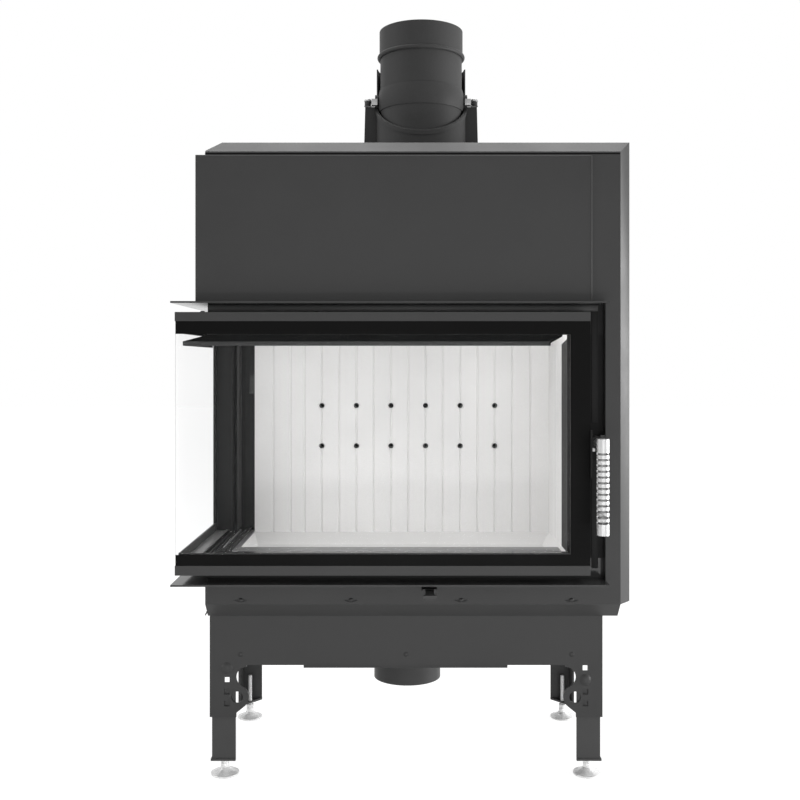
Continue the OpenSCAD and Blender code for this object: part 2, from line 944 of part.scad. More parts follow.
module casing_rear() {
    color(steel_black)
        upright(y_rear - sheet_t, sheet_t)
            polygon([
                [x_body, z_panel], [x_right, z_panel], [x_right, z_top],
                [x_body + bevel_d, z_top], [x_body, z_frame]
            ]);
}

module casing_left() {
    color(steel_black) {
        slab(
            [x_body, y_frame + sheet_t, z_hood],
            [x_body + sheet_t, y_rear - sheet_t, z_frame]
        );
        slab(
            [x_body, y_post, z_panel],
            [x_body + sheet_t, y_rear - sheet_t, z_hood]
        );
        slab(
            [x_body, y_bevel + sheet_t, z_panel],
            [x_body + sheet_t, y_rear - sheet_t, z_trim]
        );
        slab(
            [x_body, y_frame + sheet_t, z_panel + bevel_drop_t],
            [x_body + sheet_t, y_bevel + sheet_t, z_trim - sheet_t]
        );
        intersection() {
            upright(y_frame, y_rear - sheet_t - y_frame)
                polygon([
                    [x_body, z_frame], [x_body + bevel_d, z_top],
                    [x_body + bevel_d, z_top - bevel_top_t], [x_body, z_frame - bevel_top_t]
                ]);
            mitre_plan("left");
        }
    }
}

flue_fit = 0.3;
y_flue = y_glass + flue_depth;
z_tilt = z_top + tilt_h;
skirt_gap = 0.4;
skirt_r = spigot_r + 2.5;
collar_r = skirt_r + skirt_gap;
collar_wall = 2.4;
collar_out = collar_r + collar_wall;

module casing_top() {
    color(steel_black)
        difference() {
            slab(
                [x_body + bevel_d, y_bevel, z_top - sheet_t],
                [x_right - sheet_t, y_rear - sheet_t, z_top]
            );
            rod_z(flue_x, y_flue, z_top - sheet_t - cut, z_top + cut, collar_out + flue_fit);
        }
}

// Firebox: a welded plate shell, open at the glazed corner
x_shell = x_body + face_t;
y_shell_front = y_body + face_t;
air_hole_x = [for (i = [0:5]) lining_mid + (2 * i - 5) * groove_pitch];
air_hole_low = z_door + 0.42 * door_h;
air_hole_z = [air_hole_low, air_hole_low + air_row_gap];
baffle_ledge = 20;
hearth_top = z_sill - 11;

module air_holes(y0, y1, r) {
    for (x = air_hole_x, z = air_hole_z)
        rod_y(x, y0, y1, z, r, small_fine);
}

module firebox_shell() {
    color(steel_dark)
        difference() {
            union() {
                slab([x_low, y_low, z_shell], [x_shell_end, y_shell, z_shell + plate_t]);
                slab([x_low, y_low, z_shell], [x_low + plate_t, y_shell, z_sill - face_t]);
                slab([x_low, y_low, z_shell], [x_shell_end, y_low + plate_t, z_sill - face_t]);
                slab(
                    [x_shell_end - plate_t, y_shell_front, z_shell],
                    [x_shell_end, y_shell, z_roof]
                );
                slab([x_shell, y_shell - plate_t, z_shell], [x_shell_end, y_shell, z_roof]);
                slab([x_shell, y_post, z_shell], [x_shell + plate_t, y_shell, z_roof]);
                slab([x_shell, y_shell_front, z_lintel], [x_shell + plate_t, y_shell, z_roof]);
                slab(
                    [x_shell, y_shell_front, z_lintel],
                    [x_shell_end, y_shell_front + plate_t, z_roof]
                );
                slab([x_shell, y_shell_front, z_roof - plate_t], [x_shell_end, y_shell, z_roof]);
                slab(
                    [x_shell, y_shell_front, z_lining_top - plate_t],
                    [x_shell + baffle_ledge, y_shell, z_lining_top]
                );
            }
            rod_z(flue_x, y_flue, z_roof - plate_t - cut, z_roof + cut, collar_r);
            air_holes(y_shell - plate_t - cut, y_shell + cut, air_hole_r);
        }
}

module lintel_plate() {
    color(steel_dark)
        corner_bar(x_body, y_body, x_jamb, y_post, face_t, face_t, z_lintel, z_hood);
}

module sill_plate() {
    color(steel_dark) {
        corner_bar(x_body, y_body, x_jamb, y_post, face_t, face_t, z_trim, z_sill);
        corner_bar(
            x_body, y_body, x_shell_end - plate_t, y_post,
            sill_flange, side_flange, z_sill - face_t, z_sill
        );
    }
}

jamb_strip_t = 4;
jamb_strip_d = 109;
jamb_strip_drop = 14;

module jamb_plate() {
    color(steel_dark) {
        slab([x_clear, y_body, z_sill], [x_jamb, y_shell_front, z_lintel]);
        sideways(x_clear, jamb_strip_t)
            polygon([
                [y_shell_front, z_sill], [y_shell_front + jamb_strip_d, z_sill],
                [y_shell_front + jamb_strip_d, z_lintel - jamb_strip_drop],
                [y_shell_front, z_lintel]
            ]);
    }
}

// Door hinges at the rear end of the glazed side
x_hinge = x_glass + hinge_inset;
y_hinge = y_side - hinge_end;
rail_proud = 1;
post_leaf = 38;
hinge_t = 6;
hinge_lap = 3;
hinge_washer_r = 9;
hinge_washer_gap = 0.3;
hinge_pin_in = 10;
hinge_margin = 11;

module hinge_post() {
    color(steel_dark) {
        slab([x_body, y_post - post_leaf, z_sill], [x_body + face_t, y_post, z_lintel]);
        slab([x_body, y_post - face_t, z_sill], [x_lining, y_post, z_lintel]);
    }
}

module hinge_bracket(z_low, z_plate, z_washer, z_pin_low, z_pin_high) {
    slab(
        [x_hinge - hinge_margin, y_hinge - 2 * hinge_margin, z_plate],
        [x_body, y_post, z_plate + hinge_t]
    );
    rod_z(x_hinge, y_hinge, z_low, z_washer, hinge_washer_r);
    rod_z(x_hinge, y_hinge, z_pin_low, z_pin_high, hinge_pin_r, small_fine);
}

module hinge_brackets() {
    color(steel_dark) {
        hinge_bracket(
            z_recess, z_recess, z_door - hinge_washer_gap,
            z_recess, z_door + hinge_pin_in
        );
        hinge_bracket(
            z_door_top + hinge_washer_gap, z_top_trim - hinge_t, z_top_trim,
            z_door_top - hinge_pin_in, z_top_trim
        );
    }
}

// Air wash deflector, a sloped lip that turns the corner under the lintel
wash_front = 26;
wash_side = 36;
wash_fall = 11.5;
wash_lip = 7.5;
wash_t = 3;
wash_side_gap = 113;
wash_right_gap = 15.5;
wash_side_end = y_post - wash_side_gap;
wash_right_in = x_clear - wash_right_gap;
wash_right_out = wash_right_in - wash_front;

module wash_profile(reach) {
    polygon([
        [-face_t, 0], [0, 0], [reach, -wash_fall], [reach, -wash_fall - wash_lip],
        [reach - wash_t, -wash_fall - wash_lip], [reach - wash_t, -wash_fall - wash_t],
        [0, -wash_t], [-face_t, -wash_t]
    ]);
}

module air_wash_deflector() {
    color(steel_dark) {
        // Front arm
        intersection() {
            translate([x_body - wash_side, y_body, z_lintel])
                rotate([90, 0, 90])
                    linear_extrude(wash_right_in - x_body + wash_side)
                        mirror([1, 0])
                            wash_profile(wash_front);
            translate([0, 0, z_lintel - wash_fall - 2 * wash_lip])
                linear_extrude(wash_fall + 2 * wash_lip + cut)
                    polygon([
                        [x_body - wash_side, y_body - wash_front],
                        [wash_right_out, y_body - wash_front],
                        [wash_right_in, y_body],
                        [wash_right_in, y_body + face_t],
                        [x_body, y_body + face_t],
                        [x_body, y_body]
                    ]);
        }
        // Side arm
        intersection() {
            translate([x_body, wash_side_end, z_lintel])
                rotate([90, 0, 0])
                    linear_extrude(wash_side_end - y_body + wash_front)
                        mirror([1, 0])
                            wash_profile(wash_side);
            translate([0, 0, z_lintel - wash_fall - 2 * wash_lip])
                linear_extrude(wash_fall + 2 * wash_lip + cut)
                    polygon([
                        [x_body - wash_side, y_body - wash_front],
                        [x_body, y_body],
                        [x_body, y_body + face_t],
                        [x_body + face_t, y_body + face_t],
                        [x_body + face_t, wash_side_end],
                        [x_body - wash_side, wash_side_end]
                    ]);
        }
    }
}

// Lining boards with upright grooves
sink_depth = 2.5;
sink_slope = 3;

// One groove with its mouth at the origin, cut towards +Y
module groove() {
    polygon([
        [-groove_w / 2, -cut], [groove_w / 2, -cut],
        [groove_w / 2, 0], [0, groove_depth], [-groove_w / 2, 0]
    ]);
}

module back_board(x0, x1, grooves) {
    translate([0, 0, hearth_top])
        linear_extrude(z_lining_top - hearth_top)
            difference() {
                translate([x0, y_lining])
                    square([x1 - x0, lining_t]);
                for (x = grooves)
                    translate([x, y_lining])
                        groove();
            }
}

seam_l = lining_mid - 6 * groove_pitch;
seam_r = lining_mid + 6 * groove_pitch;
outer_groove = 37;

module lining_back_left() {
    color(lining_white)
        back_board(
            x_lining, seam_l,
            [seam_l, x_lining + outer_groove, x_lining + outer_groove + groove_pitch]
        );
}

module lining_back_centre() {
    color(lining_white)
        difference() {
            back_board(seam_l, seam_r, [for (i = [-6:6]) lining_mid + i * groove_pitch]);
            air_holes(y_lining - cut, y_shell - plate_t + cut, air_hole_r);
            for (x = air_hole_x, z = air_hole_z)
                translate([x, y_lining - cut, z])
                    rotate([-90, 0, 0])
                        cylinder(
                            h = sink_depth + cut, r1 = air_sink_r, r2 = air_sink_r - sink_slope,
                            $fn = small_fine
                        );
        }
}

module lining_back_right() {
    color(lining_white)
        back_board(seam_r, x_lining_side, [seam_r, x_lining_side - outer_groove]);
}

side_grooves = 7;

module lining_side() {
    color(lining_white)
        translate([0, 0, hearth_top])
            linear_extrude(z_lining_top - hearth_top)
                difference() {
                    translate([x_lining_side, y_low + plate_t])
                        square([lining_t, y_shell - y_low - 2 * plate_t]);
                    for (i = [1:side_grooves])
                        translate([x_lining_side, y_lining - i * groove_pitch])
                            rotate(-90)
                                groove();
                }
}

// Hearth bricks, each with a slope down to the floor and mitred corners
hearth_fall = 15.6;
floor_top = hearth_top - hearth_fall;
slope_back = 50;
slope_left = 14;
slope_right = 20;
slope_front = 14;
x_bed = x_low + plate_t;
x_bed_end = x_shell_end - plate_t;
y_bed = y_low + plate_t;
y_bed_end = y_shell - plate_t;
brick_d = 98;
y_brick = y_bed + brick_d;
x_floor = x_lining + slope_left;
x_floor_end = x_lining_side - slope_right;
y_floor = y_brick + slope_front;
y_floor_end = y_lining - slope_back;
brick_z = z_shell + plate_t;
hearth_joint = lining_mid - 2.5;

// Cross-section of a brick, falling from the top at zero to the floor
module brick_profile(flat, slope) {
    polygon([
        [-flat, brick_z], [slope, brick_z], [slope, floor_top],
        [0, hearth_top], [-flat, hearth_top]
    ]);
}

module brick_plan(points) {
    translate([0, 0, brick_z - cut])
        linear_extrude(hearth_top - brick_z + 2 * cut)
            polygon(points);
}

module hearth_back(x0, x1) {
    intersection() {
        sideways(x_bed, x_bed_end - x_bed)
            translate([y_lining, 0])
                mirror([1, 0])
                    brick_profile(y_bed_end - y_lining, slope_back);
        brick_plan([
            [x_bed, y_bed_end], [x_bed, y_lining], [x_lining, y_lining],
            [x_floor, y_floor_end], [x_floor_end, y_floor_end],
            [x_lining_side, y_lining], [x_bed_end, y_lining], [x_bed_end, y_bed_end]
        ]);
        slab([x0, y_floor_end - cut, z_shell], [x1, y_bed_end + cut, z_sill]);
    }
}

module hearth_back_left() {
    color(lining_white) hearth_back(x_bed, hearth_joint);
}

module hearth_back_right() {
    color(lining_white) hearth_back(hearth_joint, x_bed_end);
}

module hearth_left() {
    color(lining_white)
        intersection() {
            upright(y_brick, y_lining - y_brick)
                translate([x_lining, 0])
                    brick_profile(x_lining - x_bed, slope_left);
            brick_plan([
                [x_bed, y_brick], [x_lining, y_brick], [x_floor, y_floor],
                [x_floor, y_floor_end], [x_lining, y_lining], [x_bed, y_lining]
            ]);
        }
}

module hearth_right() {
    color(lining_white)
        intersection() {
            upright(y_brick, y_lining - y_brick)
                translate([x_lining_side, 0])
                    mirror([1, 0])
                        brick_profile(x_bed_end - x_lining_side, slope_right);
            brick_plan([
                [x_bed_end, y_brick], [x_lining_side, y_brick], [x_floor_end, y_floor],
                [x_floor_end, y_floor_end], [x_lining_side, y_lining], [x_bed_end, y_lining]
            ]);
        }
}

module hearth_front() {
    color(lining_white)
        intersection() {
            sideways(x_bed, x_bed_end - x_bed)
                translate([y_brick, 0])
                    brick_profile(y_brick - y_bed, slope_front);
            brick_plan([
                [x_bed, y_bed], [x_bed, y_brick], [x_lining, y_brick], [x_floor, y_floor],
                [x_floor_end, y_floor], [x_lining_side, y_brick],
                [x_bed_end, y_brick], [x_bed_end, y_bed]
            ]);
        }
}

module hearth_floor() {
    color(lining_white)
        slab([x_floor, y_floor, brick_z], [x_floor_end, y_floor_end, floor_top]);
}

// A loose board over the fire, and the duct that feeds the air holes
baffle_in = 82;
baffle_front = y_body + baffle_in;
baffle_gap = 1;
duct_d = 22;
duct_t = 2;
duct_rise = 42.5;
duct_top = air_hole_z[1] + duct_rise;

module baffle_board() {
    color(lining_white)
        slab(
            [x_shell + plate_t + baffle_gap, baffle_front, z_lining_top],
            [x_bed_end, y_bed_end, z_lining_top + baffle_t]
        );
}

module secondary_air_duct() {
    color(steel_dark)
        difference() {
            slab(
                [lining_mid - duct_w / 2, y_shell, z_base + floor_t],
                [lining_mid + duct_w / 2, y_shell + duct_d, duct_top]
            );
            slab(
                [lining_mid - duct_w / 2 + duct_t, y_shell - cut, z_base + floor_t - cut],
                [
                    lining_mid + duct_w / 2 - duct_t,
                    y_shell + duct_d - duct_t,
                    duct_top - duct_t
                ]
            );
        }
}

// Flue: a fixed collar, high at the rear, and a spigot that tilts forward
collar_side_z = z_tilt - 9;
collar_front_z = z_tilt - 71;
collar_back_z = z_tilt + 63;
lip_h = 7.5;
lip_t = 2.2;
bracket_t = 4;
bracket_foot = 1;
ear_r = 14;
ear_t = 3;
pivot_r = 4;
cap_r = 7;
cap_h = 5;
inner_nut_r = 7;
inner_nut_h = 5;
inner_nut_gap = 0.5;

// Everything below the slanted edge of the collar, lowered by a given drop
module below_edge(drop) {
    sideways(flue_x - 2 * collar_out, 4 * collar_out)
        polygon([
            [y_flue - 2 * collar_out, z_roof - cut],
            [y_flue - 2 * collar_out, 2 * collar_front_z - collar_side_z - drop],
            [y_flue, collar_side_z - drop],
            [y_flue, collar_back_z],
            [y_flue + 2 * collar_out, collar_back_z],
            [y_flue + 2 * collar_out, z_roof - cut]
        ]);
}

module flue_collar() {
    color(steel_black)
        difference() {
            union() {
                intersection() {
                    rod_z(flue_x, y_flue, z_roof, collar_back_z, collar_out);
                    below_edge(0);
                }
                // Band along the slanted edge
                intersection() {
                    rod_z(flue_x, y_flue, z_top, collar_side_z, collar_out + lip_t);
                    difference() {
                        below_edge(0);
                        below_edge(lip_h);
                    }
                    slab(
                        [flue_x - 2 * collar_out, y_flue - 2 * collar_out, z_top],
                        [flue_x + 2 * collar_out, y_flue, z_tilt]
                    );
                }
                for (side = [0, 1])
                    translate([flue_x, y_flue, 0])
                        mirror([side, 0, 0]) {
                            upright(-bracket_t / 2, bracket_t)
                                polygon([
                                    [skirt_r, z_top],
                                    [collar_out + bracket_w, z_top],
                                    [collar_out + bracket_w - 3 * bracket_foot, collar_side_z],
                                    [skirt_r, collar_side_z]
                                ]);
                            rod_x(skirt_r, collar_out + ear_t, 0, z_tilt, ear_r);
                        }
            }
            rod_z(flue_x, y_flue, z_roof - cut, collar_back_z + cut, collar_r);
            rod_x(
                flue_x - collar_out - ear_t - cut, flue_x + collar_out + ear_t + cut,
                y_flue, z_tilt, pivot_r + running_fit, small_fine
            );
        }
}

neck_r = spigot_r - 1.5;
skirt_in = neck_r - spigot_wall;
inner_nut_x = sqrt(pow(skirt_in, 2) - pow(inner_nut_r, 2)) - inner_nut_gap;

module flue_pivot_bolts() {
    color(zinc)
        for (side = [0, 1])
            translate([flue_x, y_flue, z_tilt])
                mirror([side, 0, 0])
                    rotate([0, 90, 0]) {
                        translate([0, 0, inner_nut_x - inner_nut_h])
                            cylinder(
                                h = collar_out + ear_t + cap_h - inner_nut_x + inner_nut_h,
                                r = pivot_r, $fn = small_fine
                            );
                        translate([0, 0, inner_nut_x - inner_nut_h])
                            cylinder(h = inner_nut_h, r = inner_nut_r, $fn = 6);
                        translate([0, 0, collar_out + ear_t])
                            cylinder(h = cap_h, r = cap_r, $fn = 6);
                        translate([0, 0, collar_out + ear_t + cap_h])
                            dome(cap_r - 1, 3);
                    }
}

skirt_up = 20;
skirt_front_z = -84;
skirt_back_z = -22;
spigot_top = z_tilt + spigot_h;
bead_z = spigot_top - bead_drop;

// Ball zone with its centre on the tilt axis
module ball_zone(r) {
    intersection() {
        translate([flue_x, y_flue, z_tilt])
            sphere(r = r, $fn = 2 * fine);
        rod_z(flue_x, y_flue, z_tilt - skirt_up, z_tilt + skirt_up, skirt_r + cut);
    }
}

module flue_spigot() {
    color(steel_black)
        difference() {
            union() {
                rod_z(flue_x, y_flue, bead_z, spigot_top, spigot_r);
                rod_z(flue_x, y_flue, z_tilt + skirt_front_z, bead_z, neck_r);
                translate([flue_x, y_flue, bead_z])
                    rotate_extrude($fn = fine)
                        translate([spigot_r, 0])
                            intersection() {
                                circle(r = bead_h, $fn = small_fine);
                                translate([-spigot_wall / 2, -bead_h])
                                    square([2 * bead_h, 2 * bead_h]);
                            }
                ball_zone(skirt_r);
            }
            rod_z(
                flue_x, y_flue, z_tilt + skirt_front_z - cut, spigot_top + cut,
                neck_r - spigot_wall
            );
            // Slanted lower end, long at the front
            sideways(flue_x - 2 * spigot_r, 4 * spigot_r)
                polygon([
                    [y_flue - 2 * spigot_r, z_tilt + 2 * skirt_front_z],
                    [y_flue - spigot_r, z_tilt + skirt_front_z],
                    [y_flue + spigot_r / 2, z_tilt + skirt_back_z],
                    [y_flue + 2 * spigot_r, z_tilt + skirt_back_z],
                    [y_flue + 2 * spigot_r, z_tilt + 2 * skirt_front_z]
                ]);
            for (side = [-1, 1])
                rod_x(
                    flue_x + side * spigot_r - spigot_r / 2, flue_x + side * spigot_r + spigot_r / 2,
                    y_flue, z_tilt, pivot_r + running_fit, small_fine
                );
        }
}

// Door frame
rail_t = 3;
x_rail = x_body - seal_space;
y_rail = y_body - seal_space;
x_frame = x_glass - rail_proud;
y_frame_front = y_glass - rail_proud;
hinge_boss_r = 9;
stile_lip = 12;
y_stile = y_side - hinge_stile_d;
x_latch = x_door - latch_stile_w;
z_glass = z_door + bottom_rail_h;
z_glass_top = z_door_top - top_rail_h;

// A rail from z_low to z_high with its web at one end and its lip past the glass
module door_rail(z_low, z_high, z_web, z_lip) {
    difference() {
        union() {
            corner_bar(
                x_frame, y_frame_front, x_door, y_side,
                rail_proud + glass_t, rail_proud + glass_t, z_low, z_high
            );
            corner_bar(
                x_frame, y_frame_front, x_door, y_side,
                y_rail - y_frame_front, x_rail - x_frame, z_web, z_web + rail_t
            );
            corner_bar(
                x_rail - rail_t, y_rail - rail_t, x_door, y_side,
                rail_t, rail_t, z_low, z_high
            );
            corner_bar(
                x_glass + glass_t, y_glass + glass_t, x_door - stile_t, y_stile,
                rail_t, rail_t, min(z_low, z_lip), max(z_high, z_lip)
            );
            slab([x_door - stile_t, y_glass, z_low], [x_door, y_rail, z_high]);
            slab([x_frame, y_side - rail_t, z_low], [x_rail, y_side, z_high]);
            rod_z(x_hinge, y_hinge, z_low, z_high, hinge_boss_r);
        }
        rod_z(
            x_hinge, y_hinge, z_low - cut, z_high + cut,
            hinge_pin_r + running_fit, small_fine
        );
    }
}

module door_top_rail() {
    color(steel_black)
        door_rail(z_glass_top, z_door_top, z_door_top - rail_t, z_glass_top - rail_lip_h);
}

module door_bottom_rail() {
    color(steel_black)
        door_rail(z_door, z_glass, z_door, z_glass + rail_lip_h);
}

module front_glass() {
    color(clear_glass)
        slab([x_glass, y_glass, z_glass], [x_door, y_glass + glass_t, z_glass_top]);
}

module side_glass() {
    color(clear_glass)
        slab(
            [x_glass, y_glass + glass_t, z_glass],
            [x_glass + glass_t, y_stile, z_glass_top]
        );
}

module hinge_stile() {
    color(steel_dark) {
        difference() {
            slab([x_glass, y_stile, z_glass], [x_rail, y_side, z_glass_top]);
            slab(
                [x_glass + stile_t, y_stile + stile_t, z_glass - cut],
                [x_rail - stile_t, y_side - stile_t, z_glass_top + cut]
            );
        }
        slab([x_rail - stile_t, y_stile, z_glass], [x_rail + stile_t, y_side, z_glass_top]);
        slab(
            [x_glass + glass_t, y_stile - stile_lip, z_glass + rail_lip_h],
            [x_glass + glass_t + stile_t, y_stile, z_glass_top - rail_lip_h]
        );
    }
}

module latch_stile() {
    color(steel_dark) {
        slab(
            [x_latch, y_glass + glass_t, z_glass + rail_lip_h],
            [x_door, y_glass + glass_t + stile_t, z_glass_top - rail_lip_h]
        );
        slab([x_door - stile_t, y_glass + glass_t, z_glass], [x_door, y_rail, z_glass_top]);
        slab([x_latch, y_rail - stile_t, z_glass], [x_door, y_rail, z_glass_top]);
    }
}

seal_t = seal_space - seal_clearance;
seal_w = 10;
seal_in = 3;
seal_hinge = 12;

module door_seal() {
    color(rope_black) {
        corner_bar(
            x_rail, y_rail, x_door - seal_in, y_hinge, seal_t, seal_t,
            z_door + seal_in, z_door + seal_in + seal_w
        );
        corner_bar(
            x_rail, y_rail, x_door - seal_in, y_hinge, seal_t, seal_t,
            z_door_top - seal_in - seal_w, z_door_top - seal_in
        );
        slab(
            [x_door - seal_in - seal_w, y_rail, z_door + seal_in],
            [x_door - seal_in, y_rail + seal_t, z_door_top - seal_in]
        );
        slab(
            [x_rail + stile_t, y_hinge - seal_hinge, z_door + seal_in],
            [x_rail + seal_t, y_hinge, z_door_top - seal_in]
        );
    }
}

// Handle: a slotted tube on a shaft that turns in a bush beside the door
x_handle = x_door + bush_r;
y_grip = y_glass - grip_reach;
z_grip_top = z_door + grip_top;
z_grip_low = z_grip_top - grip_l;
z_shaft = z_grip_top - 10;
plate_side_t = 3;
shaft_end = y_rail - 1;
cam_t = 5;
cam_l = 18;
cam_w = 8;
bush_front = y_glass - 4;
bush_back = shaft_end - cam_t - 0.4;
bush_plate_down = 58;
bush_plate_low = z_shaft - bush_plate_down;
bush_plate_high = z_shaft + 20;
bush_bolt_r = 4;
bush_bolt_h = 3;
bush_bolt_z = [z_shaft - 30, z_shaft - 46];
first_slot = 22;
plug_l = 18;
plug_gap = 0.1;
cap_l = 4;

module handle_bracket() {
    color(steel_black)
        difference() {
            union() {
                rod_y(x_handle, bush_front, bush_back, z_shaft, bush_r);
                slab(
                    [x_door, bush_front, bush_plate_low],
                    [x_door + plate_side_t, bush_back, bush_plate_high]
                );
                for (z = bush_bolt_z)
                    rod_x(
                        x_door + plate_side_t, x_door + plate_side_t + bush_bolt_h,
                        y_glass + grip_r, z, bush_bolt_r, 6
                    );
            }
            rod_y(
                x_handle, bush_front - cut, bush_back + cut, z_shaft,
                shaft_r + running_fit
            );
        }
}

module handle_grip() {
    color(polished)
        difference() {
            rod_z(x_handle, y_grip, z_grip_low, z_grip_top, grip_r);
            rod_z(
                x_handle, y_grip, z_grip_low + cap_l, z_grip_top + cut,
                grip_r - grip_wall
            );
            for (i = [0:grip_slots - 1])
                slab(
                    [
                        x_handle - 2 * grip_r, y_grip - 2 * grip_r,
                        z_grip_top - first_slot - i * grip_slot_pitch - grip_slot_h
                    ],
                    [
                        x_handle + 2 * grip_r, y_grip + grip_wall,
                        z_grip_top - first_slot - i * grip_slot_pitch
                    ]
                );
            rod_y(x_handle, y_grip, y_grip + 2 * grip_r, z_shaft, shaft_r + plug_gap);
        }
}

module handle_lever() {
    color(zinc) {
        rod_z(
            x_handle, y_grip, z_grip_top - plug_l, z_grip_top,
            grip_r - grip_wall - plug_gap
        );
        rod_y(x_handle, y_grip, shaft_end, z_shaft, shaft_r);
        rod_y(x_handle, shaft_end - cam_t, shaft_end, z_shaft, cam_w);
        slab(
            [x_handle - cam_w / 2, shaft_end - cam_t, z_shaft - cam_l],
            [x_handle + cam_w / 2, shaft_end, z_shaft]
        );
    }
}

// Keeper that the cam turns behind, on the return of the front frame
keeper_t = 4;
keeper_base_t = 2;
keeper_gap = 1.5;
keeper_up = 10;
keeper_down = 26;
keeper_back = 8;

module latch_keeper() {
    color(zinc) {
        slab(
            [x_handle + bush_r + keeper_gap, bush_back - keeper_t, z_shaft - keeper_down],
            [x_jamb, bush_back, z_shaft + keeper_up]
        );
        slab(
            [x_jamb - keeper_base_t, bush_back - keeper_t, z_shaft - keeper_down],
            [x_jamb, y_body - keeper_back, z_shaft + keeper_up]
        );
    }
}

leg_frame_front();
leg_frame_rear();
leg_frame_left();
leg_frame_right();
leg_bolts();
apron_screws();
base_plenum();
air_box();
air_inlet();
front_frame();
panel_screws();
hood_panel();
top_trim_plate();
bottom_trim_plate();
casing_right();
casing_rear();
casing_left();
casing_top();
firebox_shell();
lintel_plate();
sill_plate();
jamb_plate();
hinge_post();
hinge_brackets();
latch_keeper();
air_wash_deflector();
lining_back_left();
lining_back_centre();
lining_back_right();
lining_side();
hearth_back_left();
hearth_back_right();
hearth_left();
hearth_right();
hearth_front();
hearth_floor();
baffle_board();
secondary_air_duct();
flue_collar();
flue_pivot_bolts();
front_glass();
side_glass();
door_top_rail();
door_bottom_rail();
hinge_stile();
latch_stile();
door_seal();
handle_bracket();
handle_grip();
handle_lever();
air_control();
flue_spigot();
leg_front_left();
leg_front_right();
leg_rear_left();
leg_rear_right();
foot_front_left();
foot_front_right();
foot_rear_left();
foot_rear_right();
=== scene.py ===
import json
import math

import bmesh
import bpy
from mathutils import Matrix, Vector

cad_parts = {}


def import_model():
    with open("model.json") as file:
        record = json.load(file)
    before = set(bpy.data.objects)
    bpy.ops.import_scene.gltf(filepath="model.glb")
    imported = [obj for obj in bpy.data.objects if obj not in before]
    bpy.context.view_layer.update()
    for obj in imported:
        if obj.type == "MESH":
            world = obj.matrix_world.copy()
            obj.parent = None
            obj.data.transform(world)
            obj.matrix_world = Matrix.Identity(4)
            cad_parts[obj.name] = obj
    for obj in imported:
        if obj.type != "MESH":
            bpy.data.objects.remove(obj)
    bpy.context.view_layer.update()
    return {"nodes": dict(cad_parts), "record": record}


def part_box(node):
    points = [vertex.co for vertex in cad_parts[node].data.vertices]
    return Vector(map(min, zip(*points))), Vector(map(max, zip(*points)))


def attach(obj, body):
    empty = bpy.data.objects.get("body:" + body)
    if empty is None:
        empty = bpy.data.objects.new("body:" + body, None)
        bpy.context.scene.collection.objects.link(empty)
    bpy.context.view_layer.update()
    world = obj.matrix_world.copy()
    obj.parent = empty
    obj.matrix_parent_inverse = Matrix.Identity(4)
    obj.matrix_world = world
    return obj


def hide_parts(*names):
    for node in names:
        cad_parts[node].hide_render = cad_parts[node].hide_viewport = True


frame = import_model()
NODES = frame["nodes"]
scene = bpy.context.scene
MM = 0.001
UP, DOWN = Vector((0, 0, 1)), Vector((0, 0, -1))
WHITE = (1, 1, 1, 1)
CORNERS = [end + "_" + side for end in ("front", "rear") for side in ("left", "right")]


def edges(node):
    """A CAD node's box in millimetres: left, front, low, right, back, top."""
    lo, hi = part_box(node)
    return [round(v / MM, 2) for v in (*lo, *hi)]


def middle(node):
    """The middle of a CAD node's box seen from above, in millimetres."""
    left, front, _, right, back, _ = edges(node)
    return (left + right) / 2, (front + back) / 2


# The upright axes of the flue and of the air inlet, and the height of the bolts that the flue tilts on
FLUE_X, FLUE_Y = middle("flue_spigot")
INLET_X, INLET_Y = 5.75, 65.5
PIVOT_Z = sum(edges("flue_pivot_bolts")[2::3]) / 2


# Materials
def level(v):
    """A colour with one linear value in all three channels."""
    return (v, v, v, 1)


def grey(v, warm=0.0):
    """The linear colour of a display grey from 0 to 255, with a little more red and less blue for warm."""
    c = v / 255
    c = c / 12.92 if c <= 0.04045 else ((c + 0.055) / 1.055) ** 2.4
    return (c * (1 + warm), c, c * (1 - warm), 1)


def scaled(colour, k):
    return (colour[0] * k, colour[1] * k, colour[2] * k, 1)


class Nodes:
    """Builds a node tree from nothing."""

    def __init__(self, tree):
        self.tree = tree
        tree.nodes.clear()

    def add(self, kind, inputs=None, **settings):
        """A new node. inputs maps an input's name or place to a value, or to the socket that feeds it."""
        node = self.tree.nodes.new(kind)
        for key, value in settings.items():
            setattr(node, key, value)
        for key, value in (inputs or {}).items():
            if isinstance(value, bpy.types.NodeSocket):
                self.link(value, node.inputs[key])
            else:
                node.inputs[key].default_value = value
        return node

    def link(self, source, target):
        self.tree.links.new(source, target)


def material(name):
    m = bpy.data.materials.new(name)
    m.use_nodes = True
    return m, Nodes(m.node_tree)


def mapped(n, stretch=(1, 1, 1)):
    """The object's own coordinates, in metres times the stretch."""
    place = n.add("ShaderNodeTexCoord").outputs["Object"]
    return n.add("ShaderNodeMapping", {"Vector": place, "Scale": stretch}).outputs["Vector"]


def noise(n, vector, scale, detail, rough):
    inputs = {"Vector": vector, "Scale": scale, "Detail": detail, "Roughness": rough}
    return n.add("ShaderNodeTexNoise", inputs).outputs["Fac"]


def ramp(n, fac, *stops):
    """Colours along a value, from (position, colour) stops."""
    node = n.add("ShaderNodeValToRGB", {"Fac": fac})
    elements = node.color_ramp.elements
    while len(elements) < len(stops):
        elements.new(0.5)
    for element, (position, colour) in zip(elements, stops):
        element.position, element.color = position, colour
    return node.outputs["Color"]


def sheen(n, fac, low, high):
    """Roughness that drifts between two values."""
    return ramp(n, fac, (0.3, level(low)), (0.7, level(high)))


